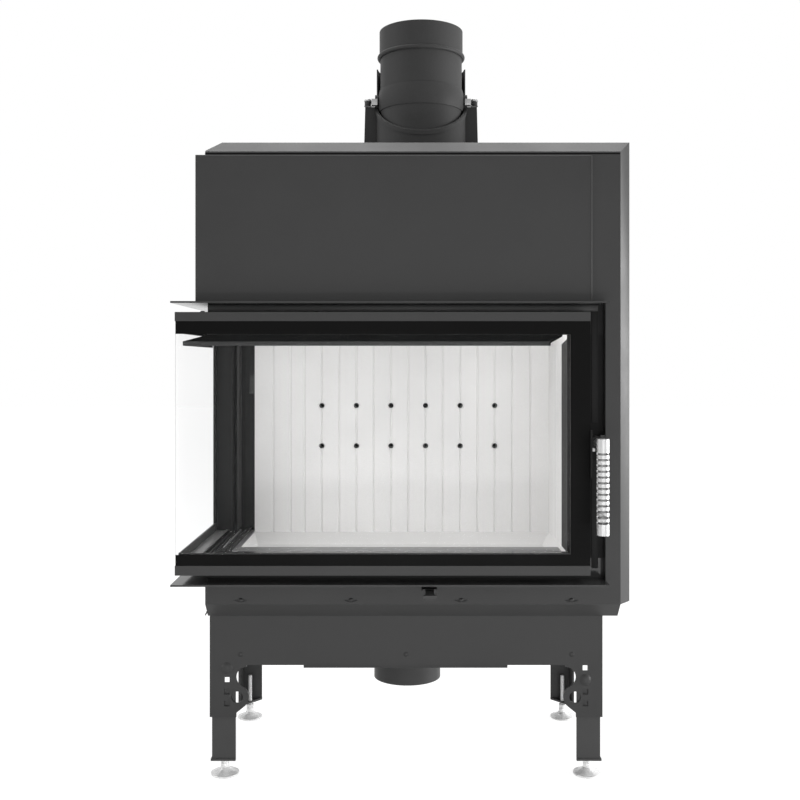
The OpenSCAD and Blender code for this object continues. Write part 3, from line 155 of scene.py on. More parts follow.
def multiply(n, colour, by, amount):
    """The first colour times the second, by an amount from 0 to 1."""
    inputs = {"Factor": amount, "A": colour, "B": by}
    return n.add("ShaderNodeMix", inputs, data_type="RGBA", blend_type="MULTIPLY").outputs["Result"]


def calc(n, operation, a, b=None):
    """The result of one maths step on sockets or numbers."""
    inputs = {0: a} if b is None else {0: a, 1: b}
    return n.add("ShaderNodeMath", inputs, operation=operation).outputs[0]


def bump(n, fac, strength, distance, under=None):
    """A normal raised by a value, on top of the normal under it."""
    inputs = {"Height": fac, "Strength": strength, "Distance": distance}
    if under is not None:
        inputs["Normal"] = under
    return n.add("ShaderNodeBump", inputs).outputs["Normal"]


def surface(n, colour, normal, rough, metallic=0.0, spec=0.5, rough_fac=None):
    """The shader and the output. rough_fac is a socket that varies the roughness about its plain value."""
    inputs = {"Base Color": colour, "Normal": normal, "Roughness": rough, "Metallic": metallic,
              "Specular IOR Level": spec}
    shader = n.add("ShaderNodeBsdfPrincipled", inputs)
    if rough_fac is not None:
        n.link(rough_fac, shader.inputs["Roughness"])
    n.add("ShaderNodeOutputMaterial", {"Surface": shader.outputs["BSDF"]})
    return shader


# Spot welds: heights of the level rows, half the spacing, and a dimple's inner and outer radius, in mm
WELD_LOW, WELD_HIGH, HALF_SPACING = 313.5, 1063.5, 62
DIMPLE_IN, DIMPLE_OUT = 2.2, 4.2


def spot_welds(n, vector, across, start, end):
    """Value that is 0 in the spot-weld dimples along a sheet's four edges and 1 elsewhere.

    The upright rows stand at start and end, in millimetres along the axis across."""
    place = n.add("ShaderNodeSeparateXYZ", {0: vector}).outputs
    away = []
    for axis, along, first, last in ((across, "Z", start, end), ("Z", across, WELD_LOW, WELD_HIGH)):
        from_middle = calc(n, "ABSOLUTE", calc(n, "SUBTRACT", place[axis], (first + last) / 2 * MM))
        from_row = calc(n, "SUBTRACT", from_middle, (last - first) / 2 * MM)
        from_weld = calc(n, "PINGPONG", place[along], HALF_SPACING * MM)
        both = n.add("ShaderNodeCombineXYZ", {0: from_row, 1: from_weld}).outputs[0]
        away.append(n.add("ShaderNodeVectorMath", {0: both}, operation="LENGTH").outputs["Value"])
    inputs = {"Value": calc(n, "MINIMUM", *away), "From Min": DIMPLE_IN * MM, "From Max": DIMPLE_OUT * MM}
    return n.add("ShaderNodeMapRange", inputs).outputs[0]


def paint(name, colour, rough, grain=1.0, mottle=0.06, spec=0.4, dimples=None):
    """Matt stove paint: a fine sprayed grain, with soft clouds in its colour and sheen.

    dimples gives the sheet's spot welds, as spot_welds takes them."""
    m, n = material(name)
    place = mapped(n)
    cloud = noise(n, place, scale=7, detail=4, rough=0.55)
    fine = noise(n, place, scale=1400, detail=2, rough=0.6)
    peel = noise(n, place, scale=260, detail=2, rough=0.5)
    shade = ramp(n, cloud, (0.3, scaled(colour, 1 - mottle)), (0.7, scaled(colour, 1 + mottle)))
    shade = multiply(n, shade, ramp(n, fine, (0.35, level(0.72)), (0.6, WHITE)), 0.35 * grain)
    relief = bump(n, peel, strength=0.12 * grain, distance=0.4 * MM)
    relief = bump(n, fine, strength=0.25 * grain, distance=0.12 * MM, under=relief)
    if dimples:
        spots = spot_welds(n, place, *dimples)
        relief = bump(n, spots, strength=0.9, distance=1.2 * MM, under=relief)
        # Painted shade: the dimples' colour is darkened in their hollows, on top of their dent.
        shade = multiply(n, shade, ramp(n, spots, (0.0, level(0.62)), (1.0, WHITE)), 1.0)
    surface(n, shade, relief, rough, spec=spec, rough_fac=sheen(n, cloud, rough - 0.05, rough + 0.07))
    return m


def board(name, colour):
    """Pressed vermiculite: pale, with flakes, pores and faint smoke clouds."""
    m, n = material(name)
    place = mapped(n)
    flakes = n.add("ShaderNodeTexVoronoi", {"Vector": place, "Scale": 420}).outputs["Distance"]
    cloud = noise(n, place, scale=5, detail=5, rough=0.6)
    pores = noise(n, place, scale=700, detail=3, rough=0.7)
    shade = ramp(n, cloud, (0.25, scaled(colour, 0.93)), (0.75, scaled(colour, 1.04)))
    shade = multiply(n, shade, ramp(n, flakes, (0.0, (0.8, 0.79, 0.77, 1)), (0.6, WHITE)), 0.25)
    shade = multiply(n, shade, ramp(n, pores, (0.3, (0.75, 0.74, 0.72, 1)), (0.45, WHITE)), 0.3)
    relief = bump(n, flakes, strength=0.25, distance=0.6 * MM)
    relief = bump(n, pores, strength=0.3, distance=0.3 * MM, under=relief)
    surface(n, shade, relief, rough=0.9, spec=0.2)
    return m


def metal(name, colour, rough, stretch=(1, 1, 1), lines=0.15, metallic=1.0):
    """Bare metal with drawn or turned lines along one direction."""
    m, n = material(name)
    drawn = noise(n, mapped(n, stretch), scale=900, detail=2, rough=0.6)
    cloud = noise(n, mapped(n), scale=40, detail=3, rough=0.5)
    shade = ramp(n, cloud, (0.3, scaled(colour, 0.94)), (0.7, scaled(colour, 1.03)))
    relief = bump(n, drawn, strength=lines, distance=0.1 * MM)
    surface(n, shade, relief, rough, metallic=metallic,
            rough_fac=sheen(n, drawn, max(rough - 0.06, 0.03), rough + 0.08))
    return m


def glass(name, tint):
    """Clear pane: nearly unseen face on, mirroring at a glancing angle, with faint smears."""
    m, n = material(name)
    smear = noise(n, mapped(n, (1, 1, 0.35)), scale=9, detail=4, rough=0.6)
    relief = bump(n, smear, strength=0.03, distance=0.4 * MM)
    shader = surface(n, tint, relief, rough=0.03,
                     rough_fac=ramp(n, smear, (0.4, level(0.015)), (0.8, level(0.07))))
    facing_away = n.add("ShaderNodeLayerWeight", {"Blend": 0.5}).outputs["Facing"]
    shown = ramp(n, facing_away, (0.0, level(0.008)), (0.7, level(0.016)), (1.0, level(0.14)))
    n.link(shown, shader.inputs["Alpha"])
    return m


def rope(name, colour):
    """Braided glass-fibre rope."""
    m, n = material(name)
    yarn = n.add("ShaderNodeTexWave", {"Vector": mapped(n), "Scale": 130, "Distortion": 1.5},
                 wave_type="BANDS", bands_direction="DIAGONAL").outputs["Fac"]
    shade = ramp(n, yarn, (0.2, scaled(colour, 0.6)), (0.8, scaled(colour, 1.5)))
    surface(n, shade, bump(n, yarn, strength=0.6, distance=0.8 * MM), rough=0.95, spec=0.1)
    return m


MATS = {
    "casing": paint("casing_paint", grey(60), rough=0.42, spec=0.2),
    "trim": paint("trim_paint", grey(56), rough=0.13, grain=0.25, spec=0.15),
    # Pale grey as painted light: the lit tops and edge highlights of the side ledge, the hearth's edges and
    # the sill bead.
    "pale": paint("pale_painted_light", grey(122), rough=0.35, grain=0.6, spec=0.5),
    # Lighter than the casing paint, as painted light: the roof's lit top, the highlight on the hood hem and
    # the strip over the door.
    "roof": paint("roof_painted_light", grey(78), rough=0.38, spec=0.36),
    # A lighter copy of the casing paint: painted light on the legs and the air inlet.
    "legs": paint("leg_painted_light", grey(68), rough=0.42, spec=0.2),
    "rear": paint("rear_paint", grey(60), rough=0.42, spec=0.2, dimples=("X", -319, 369)),
    "side": paint("side_paint", grey(60), rough=0.42, spec=0.2, dimples=("Y", -126.5, 241.5)),
    "dark": paint("inner_paint", grey(34), rough=0.55, grain=0.2, spec=0.12),
    "inner": paint("firebox_paint", grey(42), rough=0.6, grain=0.2, spec=0.16),
    "flue": paint("flue_paint", grey(58), rough=0.55, grain=2.2, mottle=0.12, spec=0.2),
    "print": paint("ceramic_print", grey(11), rough=0.4, grain=0.3, mottle=0.02, spec=0.05),
    "black_steel": paint("black_steel", grey(30), rough=0.4, grain=0.6),
    "board": board("lining_board", grey(237, warm=0.006)),
    "zinc": metal("zinc_plate", grey(160), rough=0.42),
    "polish": metal("polished_steel", grey(235), rough=0.16, stretch=(1, 1, 0.05), lines=0.1),
    # Mostly diffuse near-white with little metal: painted reflection of the white surroundings on the chrome.
    "foot": metal("chrome_foot", grey(240), rough=0.24, lines=0.05, metallic=0.2),
    "handle": metal("handle_steel", grey(178), rough=0.42, stretch=(1, 1, 0.03), lines=0.2),
    "glass": glass("clear_glass", (0.72, 0.74, 0.74, 1)),
    "rope": rope("seal_rope", grey(34)),
}

# The finish of each material slot in the record
LOOK = {
    "steel_black": "casing",
    "steel_dark": "inner",
    "zinc_steel": "zinc",
    "polished_steel": "polish",
    "lining_board": "board",
    "clear_glass": "glass",
    "rope": "rope",
}

# The nodes that have a finish of their own
OWN = {
    "flue": ["flue_collar", "flue_spigot"],
    "handle": ["handle_grip"],
    "black_steel": ["air_control", "panel_screws", "apron_screws", "latch_keeper"],
    "casing": ["leg_bolts", "latch_stile", "hinge_post"],
    "dark": ["handle_bracket", "hinge_stile", "jamb_plate", "hinge_brackets"],
    # The deflector takes the near-black print colour as painted shade; its lit lower edge is the deflector
    # lip.
    "print": ["air_wash_deflector"],
    "trim": ["top_trim_plate", "bottom_trim_plate", "sill_plate"],
    # The roof takes the lighter grey as painted light on its lit top.
    "roof": ["casing_top"],
    "rear": ["casing_rear"],
    "side": ["casing_right"],
    # The legs and the air inlet take the lighter copy of the casing paint as painted light.
    "legs": ["air_inlet"] + ["leg_" + corner for corner in CORNERS],
}


def finish_nodes():
    """Gives every CAD node its material."""
    finish = {row["node"]: LOOK[row["material_slot"]] for row in frame["record"]["subparts"]}
    finish.update({node: mat for mat, nodes in OWN.items() for node in nodes})
    for name, obj in NODES.items():
        obj.data.materials.clear()
        obj.data.materials.append(MATS[finish[name]])


# Mesh tools
# Sizes and places are in millimetres. They become metres where a vertex or a matrix is made.
def finish_piece(name, bm, mat, body, smooth=True, angle=35):
    """Turns a mesh into a named piece that rides on a body, with edges sharper than the angle kept crisp."""
    bmesh.ops.recalc_face_normals(bm, faces=bm.faces)
    mesh = bpy.data.meshes.new(name)
    bm.to_mesh(mesh)
    bm.free()
    piece = bpy.data.objects.new(name, mesh)
    scene.collection.objects.link(piece)
    mesh.materials.append(MATS[mat])
    if smooth:
        for face in mesh.polygons:
            face.use_smooth = True
        mesh.set_sharp_from_angle(angle=math.radians(angle))
    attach(piece, body)
    return piece


def add_box(bm, lo, hi, bevel):
    """A box between two corners, with rounded edges."""
    verts = bmesh.ops.create_cube(bm, size=1.0)["verts"]
    for v in verts:
        v.co = [(a + (unit + 0.5) * (b - a)) * MM for unit, a, b in zip(v.co, lo, hi)]
    rims = list({edge for v in verts for edge in v.link_edges})
    bmesh.ops.bevel(bm, geom=rims, offset=bevel * MM, segments=2, affect="EDGES", profile=0.5)


def box_piece(name, boxes, mat, body, bevel):
    """One piece from several bevelled boxes, each given by two corners."""
    bm = bmesh.new()
    for lo, hi in boxes:
        add_box(bm, lo, hi, bevel)
    finish_piece(name, bm, mat, body)


def angles(count):
    return [2 * math.pi * i / count for i in range(count)]


def vertex(bm, place, r, angle, z):
    """A vertex at a radius, an angle and a height about the Z axis of the matrix place."""
    return bm.verts.new(place @ (Vector((r * math.cos(angle), r * math.sin(angle), z)) * MM))


def skin(bm, rows, around=False, loops=True):
    """Quads between neighbouring rows of vertices.

    around joins the last row to the first, and loops joins the last vertex of a row to its first."""
    size = len(rows[0])
    for a, b in zip(rows, rows[1:] + (rows[:1] if around else [])):
        for k in range(size if loops else size - 1):
            after = (k + 1) % size
            bm.faces.new((a[k], a[after], b[after], b[k]))


def cap(bm, first, last):
    """Closes both ends of a row of loops."""
    bm.faces.new(list(reversed(first)))
    bm.faces.new(last)


def turn(bm, profile, steps, place, loops=False):
    """Turns (radius, height) points about Z; with loops, the profile's last point joins its first."""
    rows = [[vertex(bm, place, r, angle, z) for r, z in profile] for angle in angles(steps)]
    skin(bm, rows, around=True, loops=loops)
    bmesh.ops.remove_doubles(bm, verts=[v for row in rows for v in row], dist=1e-6)


def hexagon(flat, angle):
    """Radius at an angle of a hexagon whose flats lie at a distance from its axis."""
    return flat / math.cos((angle + math.pi / 6) % (math.pi / 3) - math.pi / 6)


def at(x, y, z):
    """A matrix that moves the origin to a point."""
    return Matrix.Translation(Vector((x, y, z)) * MM)


def looking(direction):
    """A turn that brings +Z along a direction."""
    return direction.to_track_quat("Z", "Y").to_matrix().to_4x4()


def tube(bm, corners, step, sides, across, size):
    """A closed tube through corners, in steps of about the given length.

    across(point, forward) gives the tube's two directions of width and height,
    and size(angle, distance) its half width and half height."""
    corners = [Vector(p) for p in corners]
    path = []
    for a, b in zip(corners, corners[1:] + corners[:1]):
        count = max(1, int((b - a).length / step))
        path += [a.lerp(b, i / count) for i in range(count)]
    rows, distance = [], 0.0
    for i, point in enumerate(path):
        after = path[(i + 1) % len(path)]
        wide, high = across(point, (after - path[i - 1]).normalized())
        row = []
        for angle in angles(sides):
            w, h = size(angle, distance)
            offset = wide * math.cos(angle) * w + high * math.sin(angle) * h
            row.append(bm.verts.new((point + offset) * MM))
        rows.append(row)
        distance += (after - point).length
    skin(bm, rows, around=True)


# Spacing of the ripples on a weld bead
RIPPLE = 2.2


def weld_rings(name, circles, sides, bead, mat):
    """Rippled weld beads of one size round level circles, each given as x, y, z and radius."""

    def across(_, forward):
        return forward.cross(UP).normalized(), UP

    def size(_, distance):
        ripple = 1 - (distance / RIPPLE) % 1.0
        drift = math.sin(distance * 0.31)
        r = bead * (0.86 + 0.2 * ripple + 0.05 * drift)
        return r, r

    bm = bmesh.new()
    for x, y, z, radius in circles:
        corners = [(x + radius * math.cos(a), y + radius * math.sin(a), z) for a in angles(sides)]
        tube(bm, corners, step=RIPPLE / 3, sides=8, across=across, size=size)
    finish_piece(name, bm, mat, "body")


def screw_head(bm, place, r, h):
    """A domed head with a sunk hexagon socket, its seat at the matrix's origin."""
    dome = [(r * 0.999, 0), (r, h * 0.25), (r * 0.93, h * 0.6), (r * 0.75, h * 0.88), (r * 0.5, h)]
    rows = []
    for angle in angles(32):
        rim = hexagon(r * 0.42, angle)
        profile = dome + [(rim, h), (rim * 0.97, h * 0.35)]
        rows.append([vertex(bm, place, a, angle, z) for a, z in profile])
    skin(bm, rows, around=True, loops=False)
    cap(bm, [row[0] for row in rows], [row[-1] for row in rows])


WASHER_H, WASHER_EDGE, WASHER_SLOPE = 0.9, 0.6, 0.4


def screws(name, places, direction, r, h, body, washer=None):
    """Black screws of one size in one piece, on washers if a radius is given for them."""
    bm = bmesh.new()
    for point in places:
        place = at(*point) @ looking(direction)
        if washer:
            hole = 0.5 * r
            ring = [(hole, 0), (washer, 0), (washer, WASHER_EDGE), (washer - WASHER_SLOPE, WASHER_H),
                    (hole, WASHER_H)]
            turn(bm, ring, 32, place)
            place = place @ at(0, 0, WASHER_H)
        screw_head(bm, place, r, h)
    finish_piece(name, bm, "black_steel", body)


# Pieces of the door
# The print leaves strips of these widths along the front pane's edges, and its window has round corners.
STRIP_LEFT, STRIP_LOW, STRIP_RIGHT, STRIP_TOP = 0.25, 18, 32.5, 21
ROUNDING, COAT_GAP, COAT_STEP = 1.0, 0.02, 0.12


def ceramic_print():
    """Ceramic print round the front pane in two coats, rounded where its strips meet."""
    left, face, low, right, _, top = edges("front_glass")
    x0, x1 = left + STRIP_LEFT + ROUNDING, right - STRIP_RIGHT - ROUNDING
    z0, z1 = low + STRIP_LOW + ROUNDING, top - STRIP_TOP - ROUNDING
    corners = [(right, top), (left, top), (left, low), (right, low)]
    centres = [(x1, z1), (x0, z1), (x0, z0), (x1, z0)]
    inner, outer, upright = [], [], []
    for quarter, ((edge_x, edge_z), (x, z)) in enumerate(zip(corners, centres)):
        for a in (math.radians(90 * quarter + 30 * k) for k in range(4)):
            in_x, in_z = x + ROUNDING * math.cos(a), z + ROUNDING * math.sin(a)
            beside = abs(math.cos(a)) > abs(math.sin(a))
            inner.append((in_x, in_z))
            outer.append((edge_x, in_z) if beside else (in_x, edge_z))
            upright.append(beside)

    bm = bmesh.new()
    for coat in (0, 1):
        y = face - COAT_GAP - COAT_STEP * coat
        ins, outs, ends = ([bm.verts.new(Vector((x, y, z)) * MM) for x, z in row]
                           for row in (inner, outer, corners))
        for i, a in enumerate(ins):
            j = (i + 1) % len(ins)
            corner = [ends[i // 4]] if upright[i] != upright[j] else []
            ring = [a, outs[i]] + corner + [outs[j], ins[j]]
            bm.faces.new(ring if coat else list(reversed(ring)))
    finish_piece("ceramic_print", bm, "print", "door", smooth=False)


# Places of the rail screws along the front and along the side, and how far in from the rail's face they stand
RAIL_SCREW_X = (-334.0, -143.0, 49.0, 243.5)
RAIL_SCREW_Y = (-95, 20, 115)
FRONT_IN, SIDE_IN = 22.5, 17.25


def rail_screws():
    """Small screws in the door's top and bottom rails."""
    left, front, _, _, _, top = edges("door_top_rail")
    low = edges("door_bottom_rail")[2]
    x, y = left + SIDE_IN, front + FRONT_IN
    for name, places, direction in (
            ("rail_screws_top", [(at_x, y, top) for at_x in RAIL_SCREW_X], UP),
            ("rail_screws_bottom", [(at_x, y, low) for at_x in RAIL_SCREW_X], DOWN),
            ("rail_screws_side", [(x, at_y, top) for at_y in RAIL_SCREW_Y], UP)):
        screws(name, places, direction, r=4.2, h=2.6, body="door")


# Half width and half thickness of the rope, and how many strands run in each direction
ROPE_W, ROPE_T, STRANDS = 4.9, 3.9, 3


def seal_rope():
    """Braided rope of oval section in place of the plain strip, its strands crossing in relief."""
    left, front, low, right, back, top = edges("door_seal")
    flat_gap, edge_gap, end_gap = 0.05, 0.1, 6.0
    turn_start, turn_middle, corner_cut, hair = 5, 1.5, 4, 0.01
    x0, y0 = left + ROPE_T + flat_gap, front + ROPE_T + flat_gap
    x1, y1 = right - ROPE_W - edge_gap, back - end_gap
    z0, z1 = low + ROPE_W + edge_gap, top - ROPE_W - edge_gap

    def outward(point):
        """The way that the rope's outer side looks: left, out of the corner between the panes, or front."""
        near = turn_start + 1
        if point.x <= x0 + hair and point.y > y0 + hair:
            return Vector((-1, 0, 0))
        if point.x <= x0 + near and point.y <= y0 + near:
            return Vector((-1, -1, 0)).normalized()
        return Vector((0, -1, 0))

    def across(point, forward):
        out = outward(point)
        return forward.cross(out).normalized(), out

    def size(angle, distance):
        lay = distance * 0.75
        swell = 0.93 + 0.07 * math.sin(STRANDS * angle + lay) * math.sin(STRANDS * angle - lay)
        return ROPE_W * swell, ROPE_T * swell

    def bend(z):
        """The rope's turn round the corner between the panes."""
        return [(x0, y0 + turn_start, z), (x0 + turn_middle, y0 + turn_middle, z), (x0 + turn_start, y0, z)]

    end_out, end_in = 1.5, 2
    path = [(x0, y1, z0), *bend(z0), (x1 - corner_cut, y0, z0), (x1, y0, z0 + corner_cut)]
    path += [(x1, y0, z1 - corner_cut), (x1 - corner_cut, y0, z1), *reversed(bend(z1)), (x0, y1, z1)]
    path += [(x0, y1 + end_out, z1 - end_in), (x0, y1 + end_out, z0 + end_in)]
    bm = bmesh.new()
    tube(bm, path, step=1.5, sides=14, across=across, size=size)
    piece = finish_piece("seal_rope", bm, "rope", "door", angle=80)
    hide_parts("door_seal")


def side_ledge():
    """Ledge inside the side pane's lower rail, with an upturned inner edge, in pale grey: painted light on
    the rail's lit top.
    """
    _, front, low, face, back, _ = edges("side_glass")
    gap, width, sheet, rise = 0.65, 23.6, 0.85, 4.05
    lip_in, lip_out, lip_h = 0.8, 0.4, 2.35
    front_margin, back_margin = 3.5, 2.5
    x0, y0, z0 = face + gap, front + front_margin, low + rise
    x1, y1 = x0 + width, back - back_margin
    flat = ((x0, y0, z0), (x1, y1, z0 + sheet))
    lip = ((x1 - lip_in, y0, z0), (x1 + lip_out, y1, z0 + lip_h))
    box_piece("side_ledge", [flat, lip], "pale", "door", bevel=0.2)


# Levelling feet
# The plate's profile has a rolled rim, a dome and a socket neck. The nut sits on it and the stud in the nut.
FOOT_PROFILE = [(0.01, 0), (23.4, 0), (24, 0.5), (24, 2.2), (23.6, 2.9), (22.4, 3.3), (19.5, 4.3),
                (15.5, 5.7), (11.5, 7.6), (9.2, 9.6), (7.9, 11.4), (7.0, 12.2), (7.0, 18.6), (6.6, 19.4),
                (5.9, 19.9), (5.9, 20.0), (0.01, 20.0)]
NUT_R, NUT_LOW, NUT_TOP, NUT_CHAMFER = 7.5, 20.0, 26.0, 1.0
STUD_R, THREAD_PITCH, THREAD_DEPTH, END_DEPTH, OVERRUN = 4.0, 1.75, 0.75, 0.9, 0.1


def foot_nut(bm, place):
    """Hexagon nut with turned corners."""
    flat, turned = NUT_R * math.cos(math.pi / 6), NUT_R * 0.9
    rows = []
    for z, limit in ((NUT_LOW, turned), (NUT_LOW + NUT_CHAMFER, NUT_R), (NUT_TOP - NUT_CHAMFER, NUT_R),
                     (NUT_TOP, turned)):
        rows.append([vertex(bm, place, min(hexagon(flat, a), limit), a, z) for a in angles(48)])
    skin(bm, rows)
    cap(bm, rows[0], rows[-1])


def foot_stud(bm, place, top):
    """Threaded stud, four rows of vertices to each turn, its upper end turned down."""
    low = NUT_TOP - OVERRUN
    count = int((top - low) / THREAD_PITCH * 4) + 1
    rows = []
    for j in range(count):
        z = low + (top - low) * j / (count - 1)
        row = []
        for a in angles(24):
            turned = (z / THREAD_PITCH - a / (2 * math.pi)) % 1.0
            depth = THREAD_DEPTH * abs(2 * turned - 1) if j < count - 1 else END_DEPTH
            row.append(vertex(bm, place, STUD_R - depth, a, z))
        rows.append(row)
    skin(bm, rows)
    cap(bm, rows[0], rows[-1])


def feet():
    """The four levelling feet in place of the plain ones."""
    for corner in CORNERS:
        place = at(*middle("foot_" + corner), 0)
        bm = bmesh.new()
        turn(bm, FOOT_PROFILE, 64, place)
        foot_nut(bm, place)
        foot_stud(bm, place, edges("foot_" + corner)[5])
        piece = finish_piece("levelling_foot_" + corner, bm, "foot", "foot_" + corner + "_body",
                             angle=28)
        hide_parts("foot_" + corner)


# Pieces of the casing
# The tab has an upright plate and a slanting one, measured across and up from the plenum's lower left edge.
TAB_X, TAB_Y, TAB_Z = (-0.55, 0.95), (-140, -112), (12, 27)
TAB_SLANT = [(0.05, 13), (-5.95, 0.5), (-4.65, -0.1), (1.35, 12.2)]
SLANT_MARGIN = 0.5


def casing_tab():
    """Bent tab at the lower left end of the casing."""
    left, _, low, _, _, _ = edges("base_plenum")
    bm = bmesh.new()
    lo, hi = zip([left + x for x in TAB_X], TAB_Y, [low + z for z in TAB_Z])
    add_box(bm, lo, hi, bevel=0.3)
    rows = [[bm.verts.new(Vector((left + x, y, low + z)) * MM) for x, z in TAB_SLANT]
            for y in (TAB_Y[0] + SLANT_MARGIN, TAB_Y[1] - SLANT_MARGIN)]
    skin(bm, rows)
    cap(bm, rows[0], rows[-1])
    finish_piece("casing_tab", bm, "casing", "body", smooth=False)


def hood_hem():
    """Folded hem on the hood panel's right and upper edges, in the lighter roof grey: a painted highlight
    along the fold.
    """
    left, front, low, right, _, top = edges("hood_panel")
    proud, sunk, inward = 0.65, 0.05, 1.05
    above, below = 0.4, 1.2
    left_margin, low_margin = 0.35, 1.5
    corner = (right + proud, front + sunk, top + above)
    upright = ((right - inward, front - proud, low + low_margin), corner)
    lying = ((left + left_margin, front - proud, top - below), corner)
    box_piece("hood_hem", [upright, lying], "roof", "body", bevel=0.25)


def hood_joint():
    """Dark joint above the hood panel, along the front and the left side."""
    left, front, _, right, _, _ = edges("front_frame")
    hood_top, lintel_face = edges("hood_panel")[5], edges("lintel_plate")[1]
    proud, sunk, rise, height = 0.45, 0.05, 1.9, 2
    right_margin, behind, before = 20.45, 0.5, 0.1
    z0 = hood_top + rise
    z1 = z0 + height
    along_front = ((left + proud, front - proud, z0), (right - right_margin, front + sunk, z1))
    along_side = ((left - proud, front + behind, z0), (left + sunk, lintel_face - before, z1))
    box_piece("hood_joint", [along_front, along_side], "print", "body", bevel=0.1)


def recess_strips():
    """Lighter strips in the door's recess, one over the door and one at its side, clear of the latch: painted
    light where the recess lies in shade.
    """
    left, face, _, right, _, top = edges("lintel_plate")
    rail_low = edges("door_bottom_rail")[2]
    latch_low, latch_top = edges("latch_keeper")[2::3]
    left_margin, right_margin, gap, sheet = 1.25, 8.75, 0.2, 1.5
    x0, x1 = left + left_margin, right - right_margin
    y0, y1 = face - gap - sheet, face - gap

    height, top_margin = 9.3, 3.7
    lip_depth, lip_below, lip_above = 0.8, 0.9, 0.4
    z0 = top - top_margin - height
    plate = ((x0, y0, z0), (x1, y1, z0 + height))
    lip = ((x0, y0 - lip_depth, z0 - lip_below), (x1, y0, z0 + lip_above))
    # Painted light: the top strip in the lighter roof grey.
    box_piece("recess_strip_top", [plate, lip], "roof", "body", bevel=0.3)

    width, under_top, over_low = 10.7, 1, 2
    over_latch, under_latch = 20, 7
    heights = ((latch_top + over_latch, z0 - under_top), (rail_low + over_low, latch_low - under_latch))
    sides = [((x1 - width, y0, low), (x1, y1, high)) for low, high in heights]
    # Painted light: the side strip in firebox grey, lighter than the shade round it.
    box_piece("recess_strip_side", sides, "inner", "body", bevel=0.3)


# Places of the roof's screws along its long sides and along its short ones
LONG_SIDES_X, LONG_SIDES_Y = (-290, -180, -70, 150, 260, 362), (-122, 240)
SHORT_SIDES_X, SHORT_SIDES_Y = (-305, 366), (-30, 60, 150)


def roof_screws():
    """Screws on washers along the roof's rim."""
    top = edges("casing_top")[5]
    places = [(x, y, top) for x in LONG_SIDES_X for y in LONG_SIDES_Y]
    places += [(x, y, top) for x in SHORT_SIDES_X for y in SHORT_SIDES_Y]
    screws("roof_screws", places, UP, r=4.4, h=2.4, body="body", washer=6.5)


def inlet_weld():
    """Weld where the air inlet meets the air box."""
    radius, below = 63.4, 3.7
    circle = (INLET_X, INLET_Y, edges("air_inlet")[5] - below, radius)
    weld_rings("inlet_weld", [circle], sides=60, bead=1.5, mat="casing")


# Pieces of the firebox
def post_cover():
    """Cover strip on the hinge post with a raised middle, seen through the side pane."""
    left, _, low, right, back, top = edges("hinge_post")
    end_margin, left_margin, right_margin = 0.5, 4.65, 0.15
    set_back, sheet = 4.3, 1.25
    raised_from, raised_w, raised_h = 4.8, 10.4, 1.6
    x0, x1 = left + left_margin, right - right_margin
    z0, z1 = low + end_margin, top - end_margin
    y = back - set_back
    strip = ((x0, y, z0), (x1, y + sheet, z1))
    raised = ((x0 + raised_from, y - raised_h, z0), (x0 + raised_from + raised_w, y, z1))
    box_piece("post_cover", [strip, raised], "dark", "body", bevel=0.3)


def lining_clip():
    """Spring clip on the hinge post, beside the lining: a plate between two thicker ends."""
    _, _, low, right, back, _ = edges("hinge_post")
    aside, set_back, rise = 5.75, 4.35, 285.0
    x, y, z = right - aside, back - set_back, low + rise
    half_w, half_h, depth = 4.1, 16.0, 2.75
    end_w, end_h, end_depth = 4.7, 2.0, 3.95
    boxes = [((x - half_w, y - depth, z - half_h), (x + half_w, y, z + half_h))]
    for z0 in (z - half_h - end_h, z + half_h):
        boxes.append(((x - end_w, y - end_depth, z0), (x + end_w, y, z0 + end_h)))
    box_piece("lining_clip", boxes, "casing", "body", bevel=0.3)


def hearth_strips():
    """Pale strips on the hearth's edges as painted light, for their lit tops and edge highlights: one along
    its front, one along the glazed side, and a bead on the sill.
    """
    hearth, sill = edges("hearth_front")[5], edges("sill_plate")[5]
    gap, front_sheet, side_sheet, bead_gap, bead_h = 0.1, 1.5, 1.8, 0.2, 1.4
    strips = []
    for (x0, x1), (y0, y1), z0, height in (
            ((-300.0, 283.0), (-27, 12), hearth + gap, front_sheet),
            ((-313.4, -301.2), (-20, 182), hearth + gap, side_sheet),
            ((-322.4, -321.0), (-45, 143), sill + bead_gap, bead_h)):
        strips.append(((x0, y0, z0), (x1, y1, z0 + height)))
    box_piece("hearth_strips", strips, "pale", "body", bevel=0.3)


# The secondary air holes: first place, spacing and count along the row and upwards
HOLE_X, HOLE_Z = (-166.07, 69.53, 6), (536.44, 81.0, 2)
SLEEVE_PROFILE = [(3.6, 0.0), (4.9, 0.0), (5.1, 0.15), (5.1, 0.4), (4.2, 0.45), (4.2, 8.0), (3.6, 8.0)]
SLEEVE_IN = 2.0


def air_sleeves():
    """Flanged steel sleeves in the secondary air holes."""
    y = edges("lining_back_centre")[1] + SLEEVE_IN
    xs, zs = ([first + step * i for i in range(count)] for first, step, count in (HOLE_X, HOLE_Z))
    into_wall = Matrix.Rotation(math.radians(-90), 4, "X")
    bm = bmesh.new()
    for x in xs:
        for z in zs:
            turn(bm, SLEEVE_PROFILE, 32, at(x, y, z) @ into_wall, loops=True)
    finish_piece("air_sleeves", bm, "black_steel", "body", angle=30)


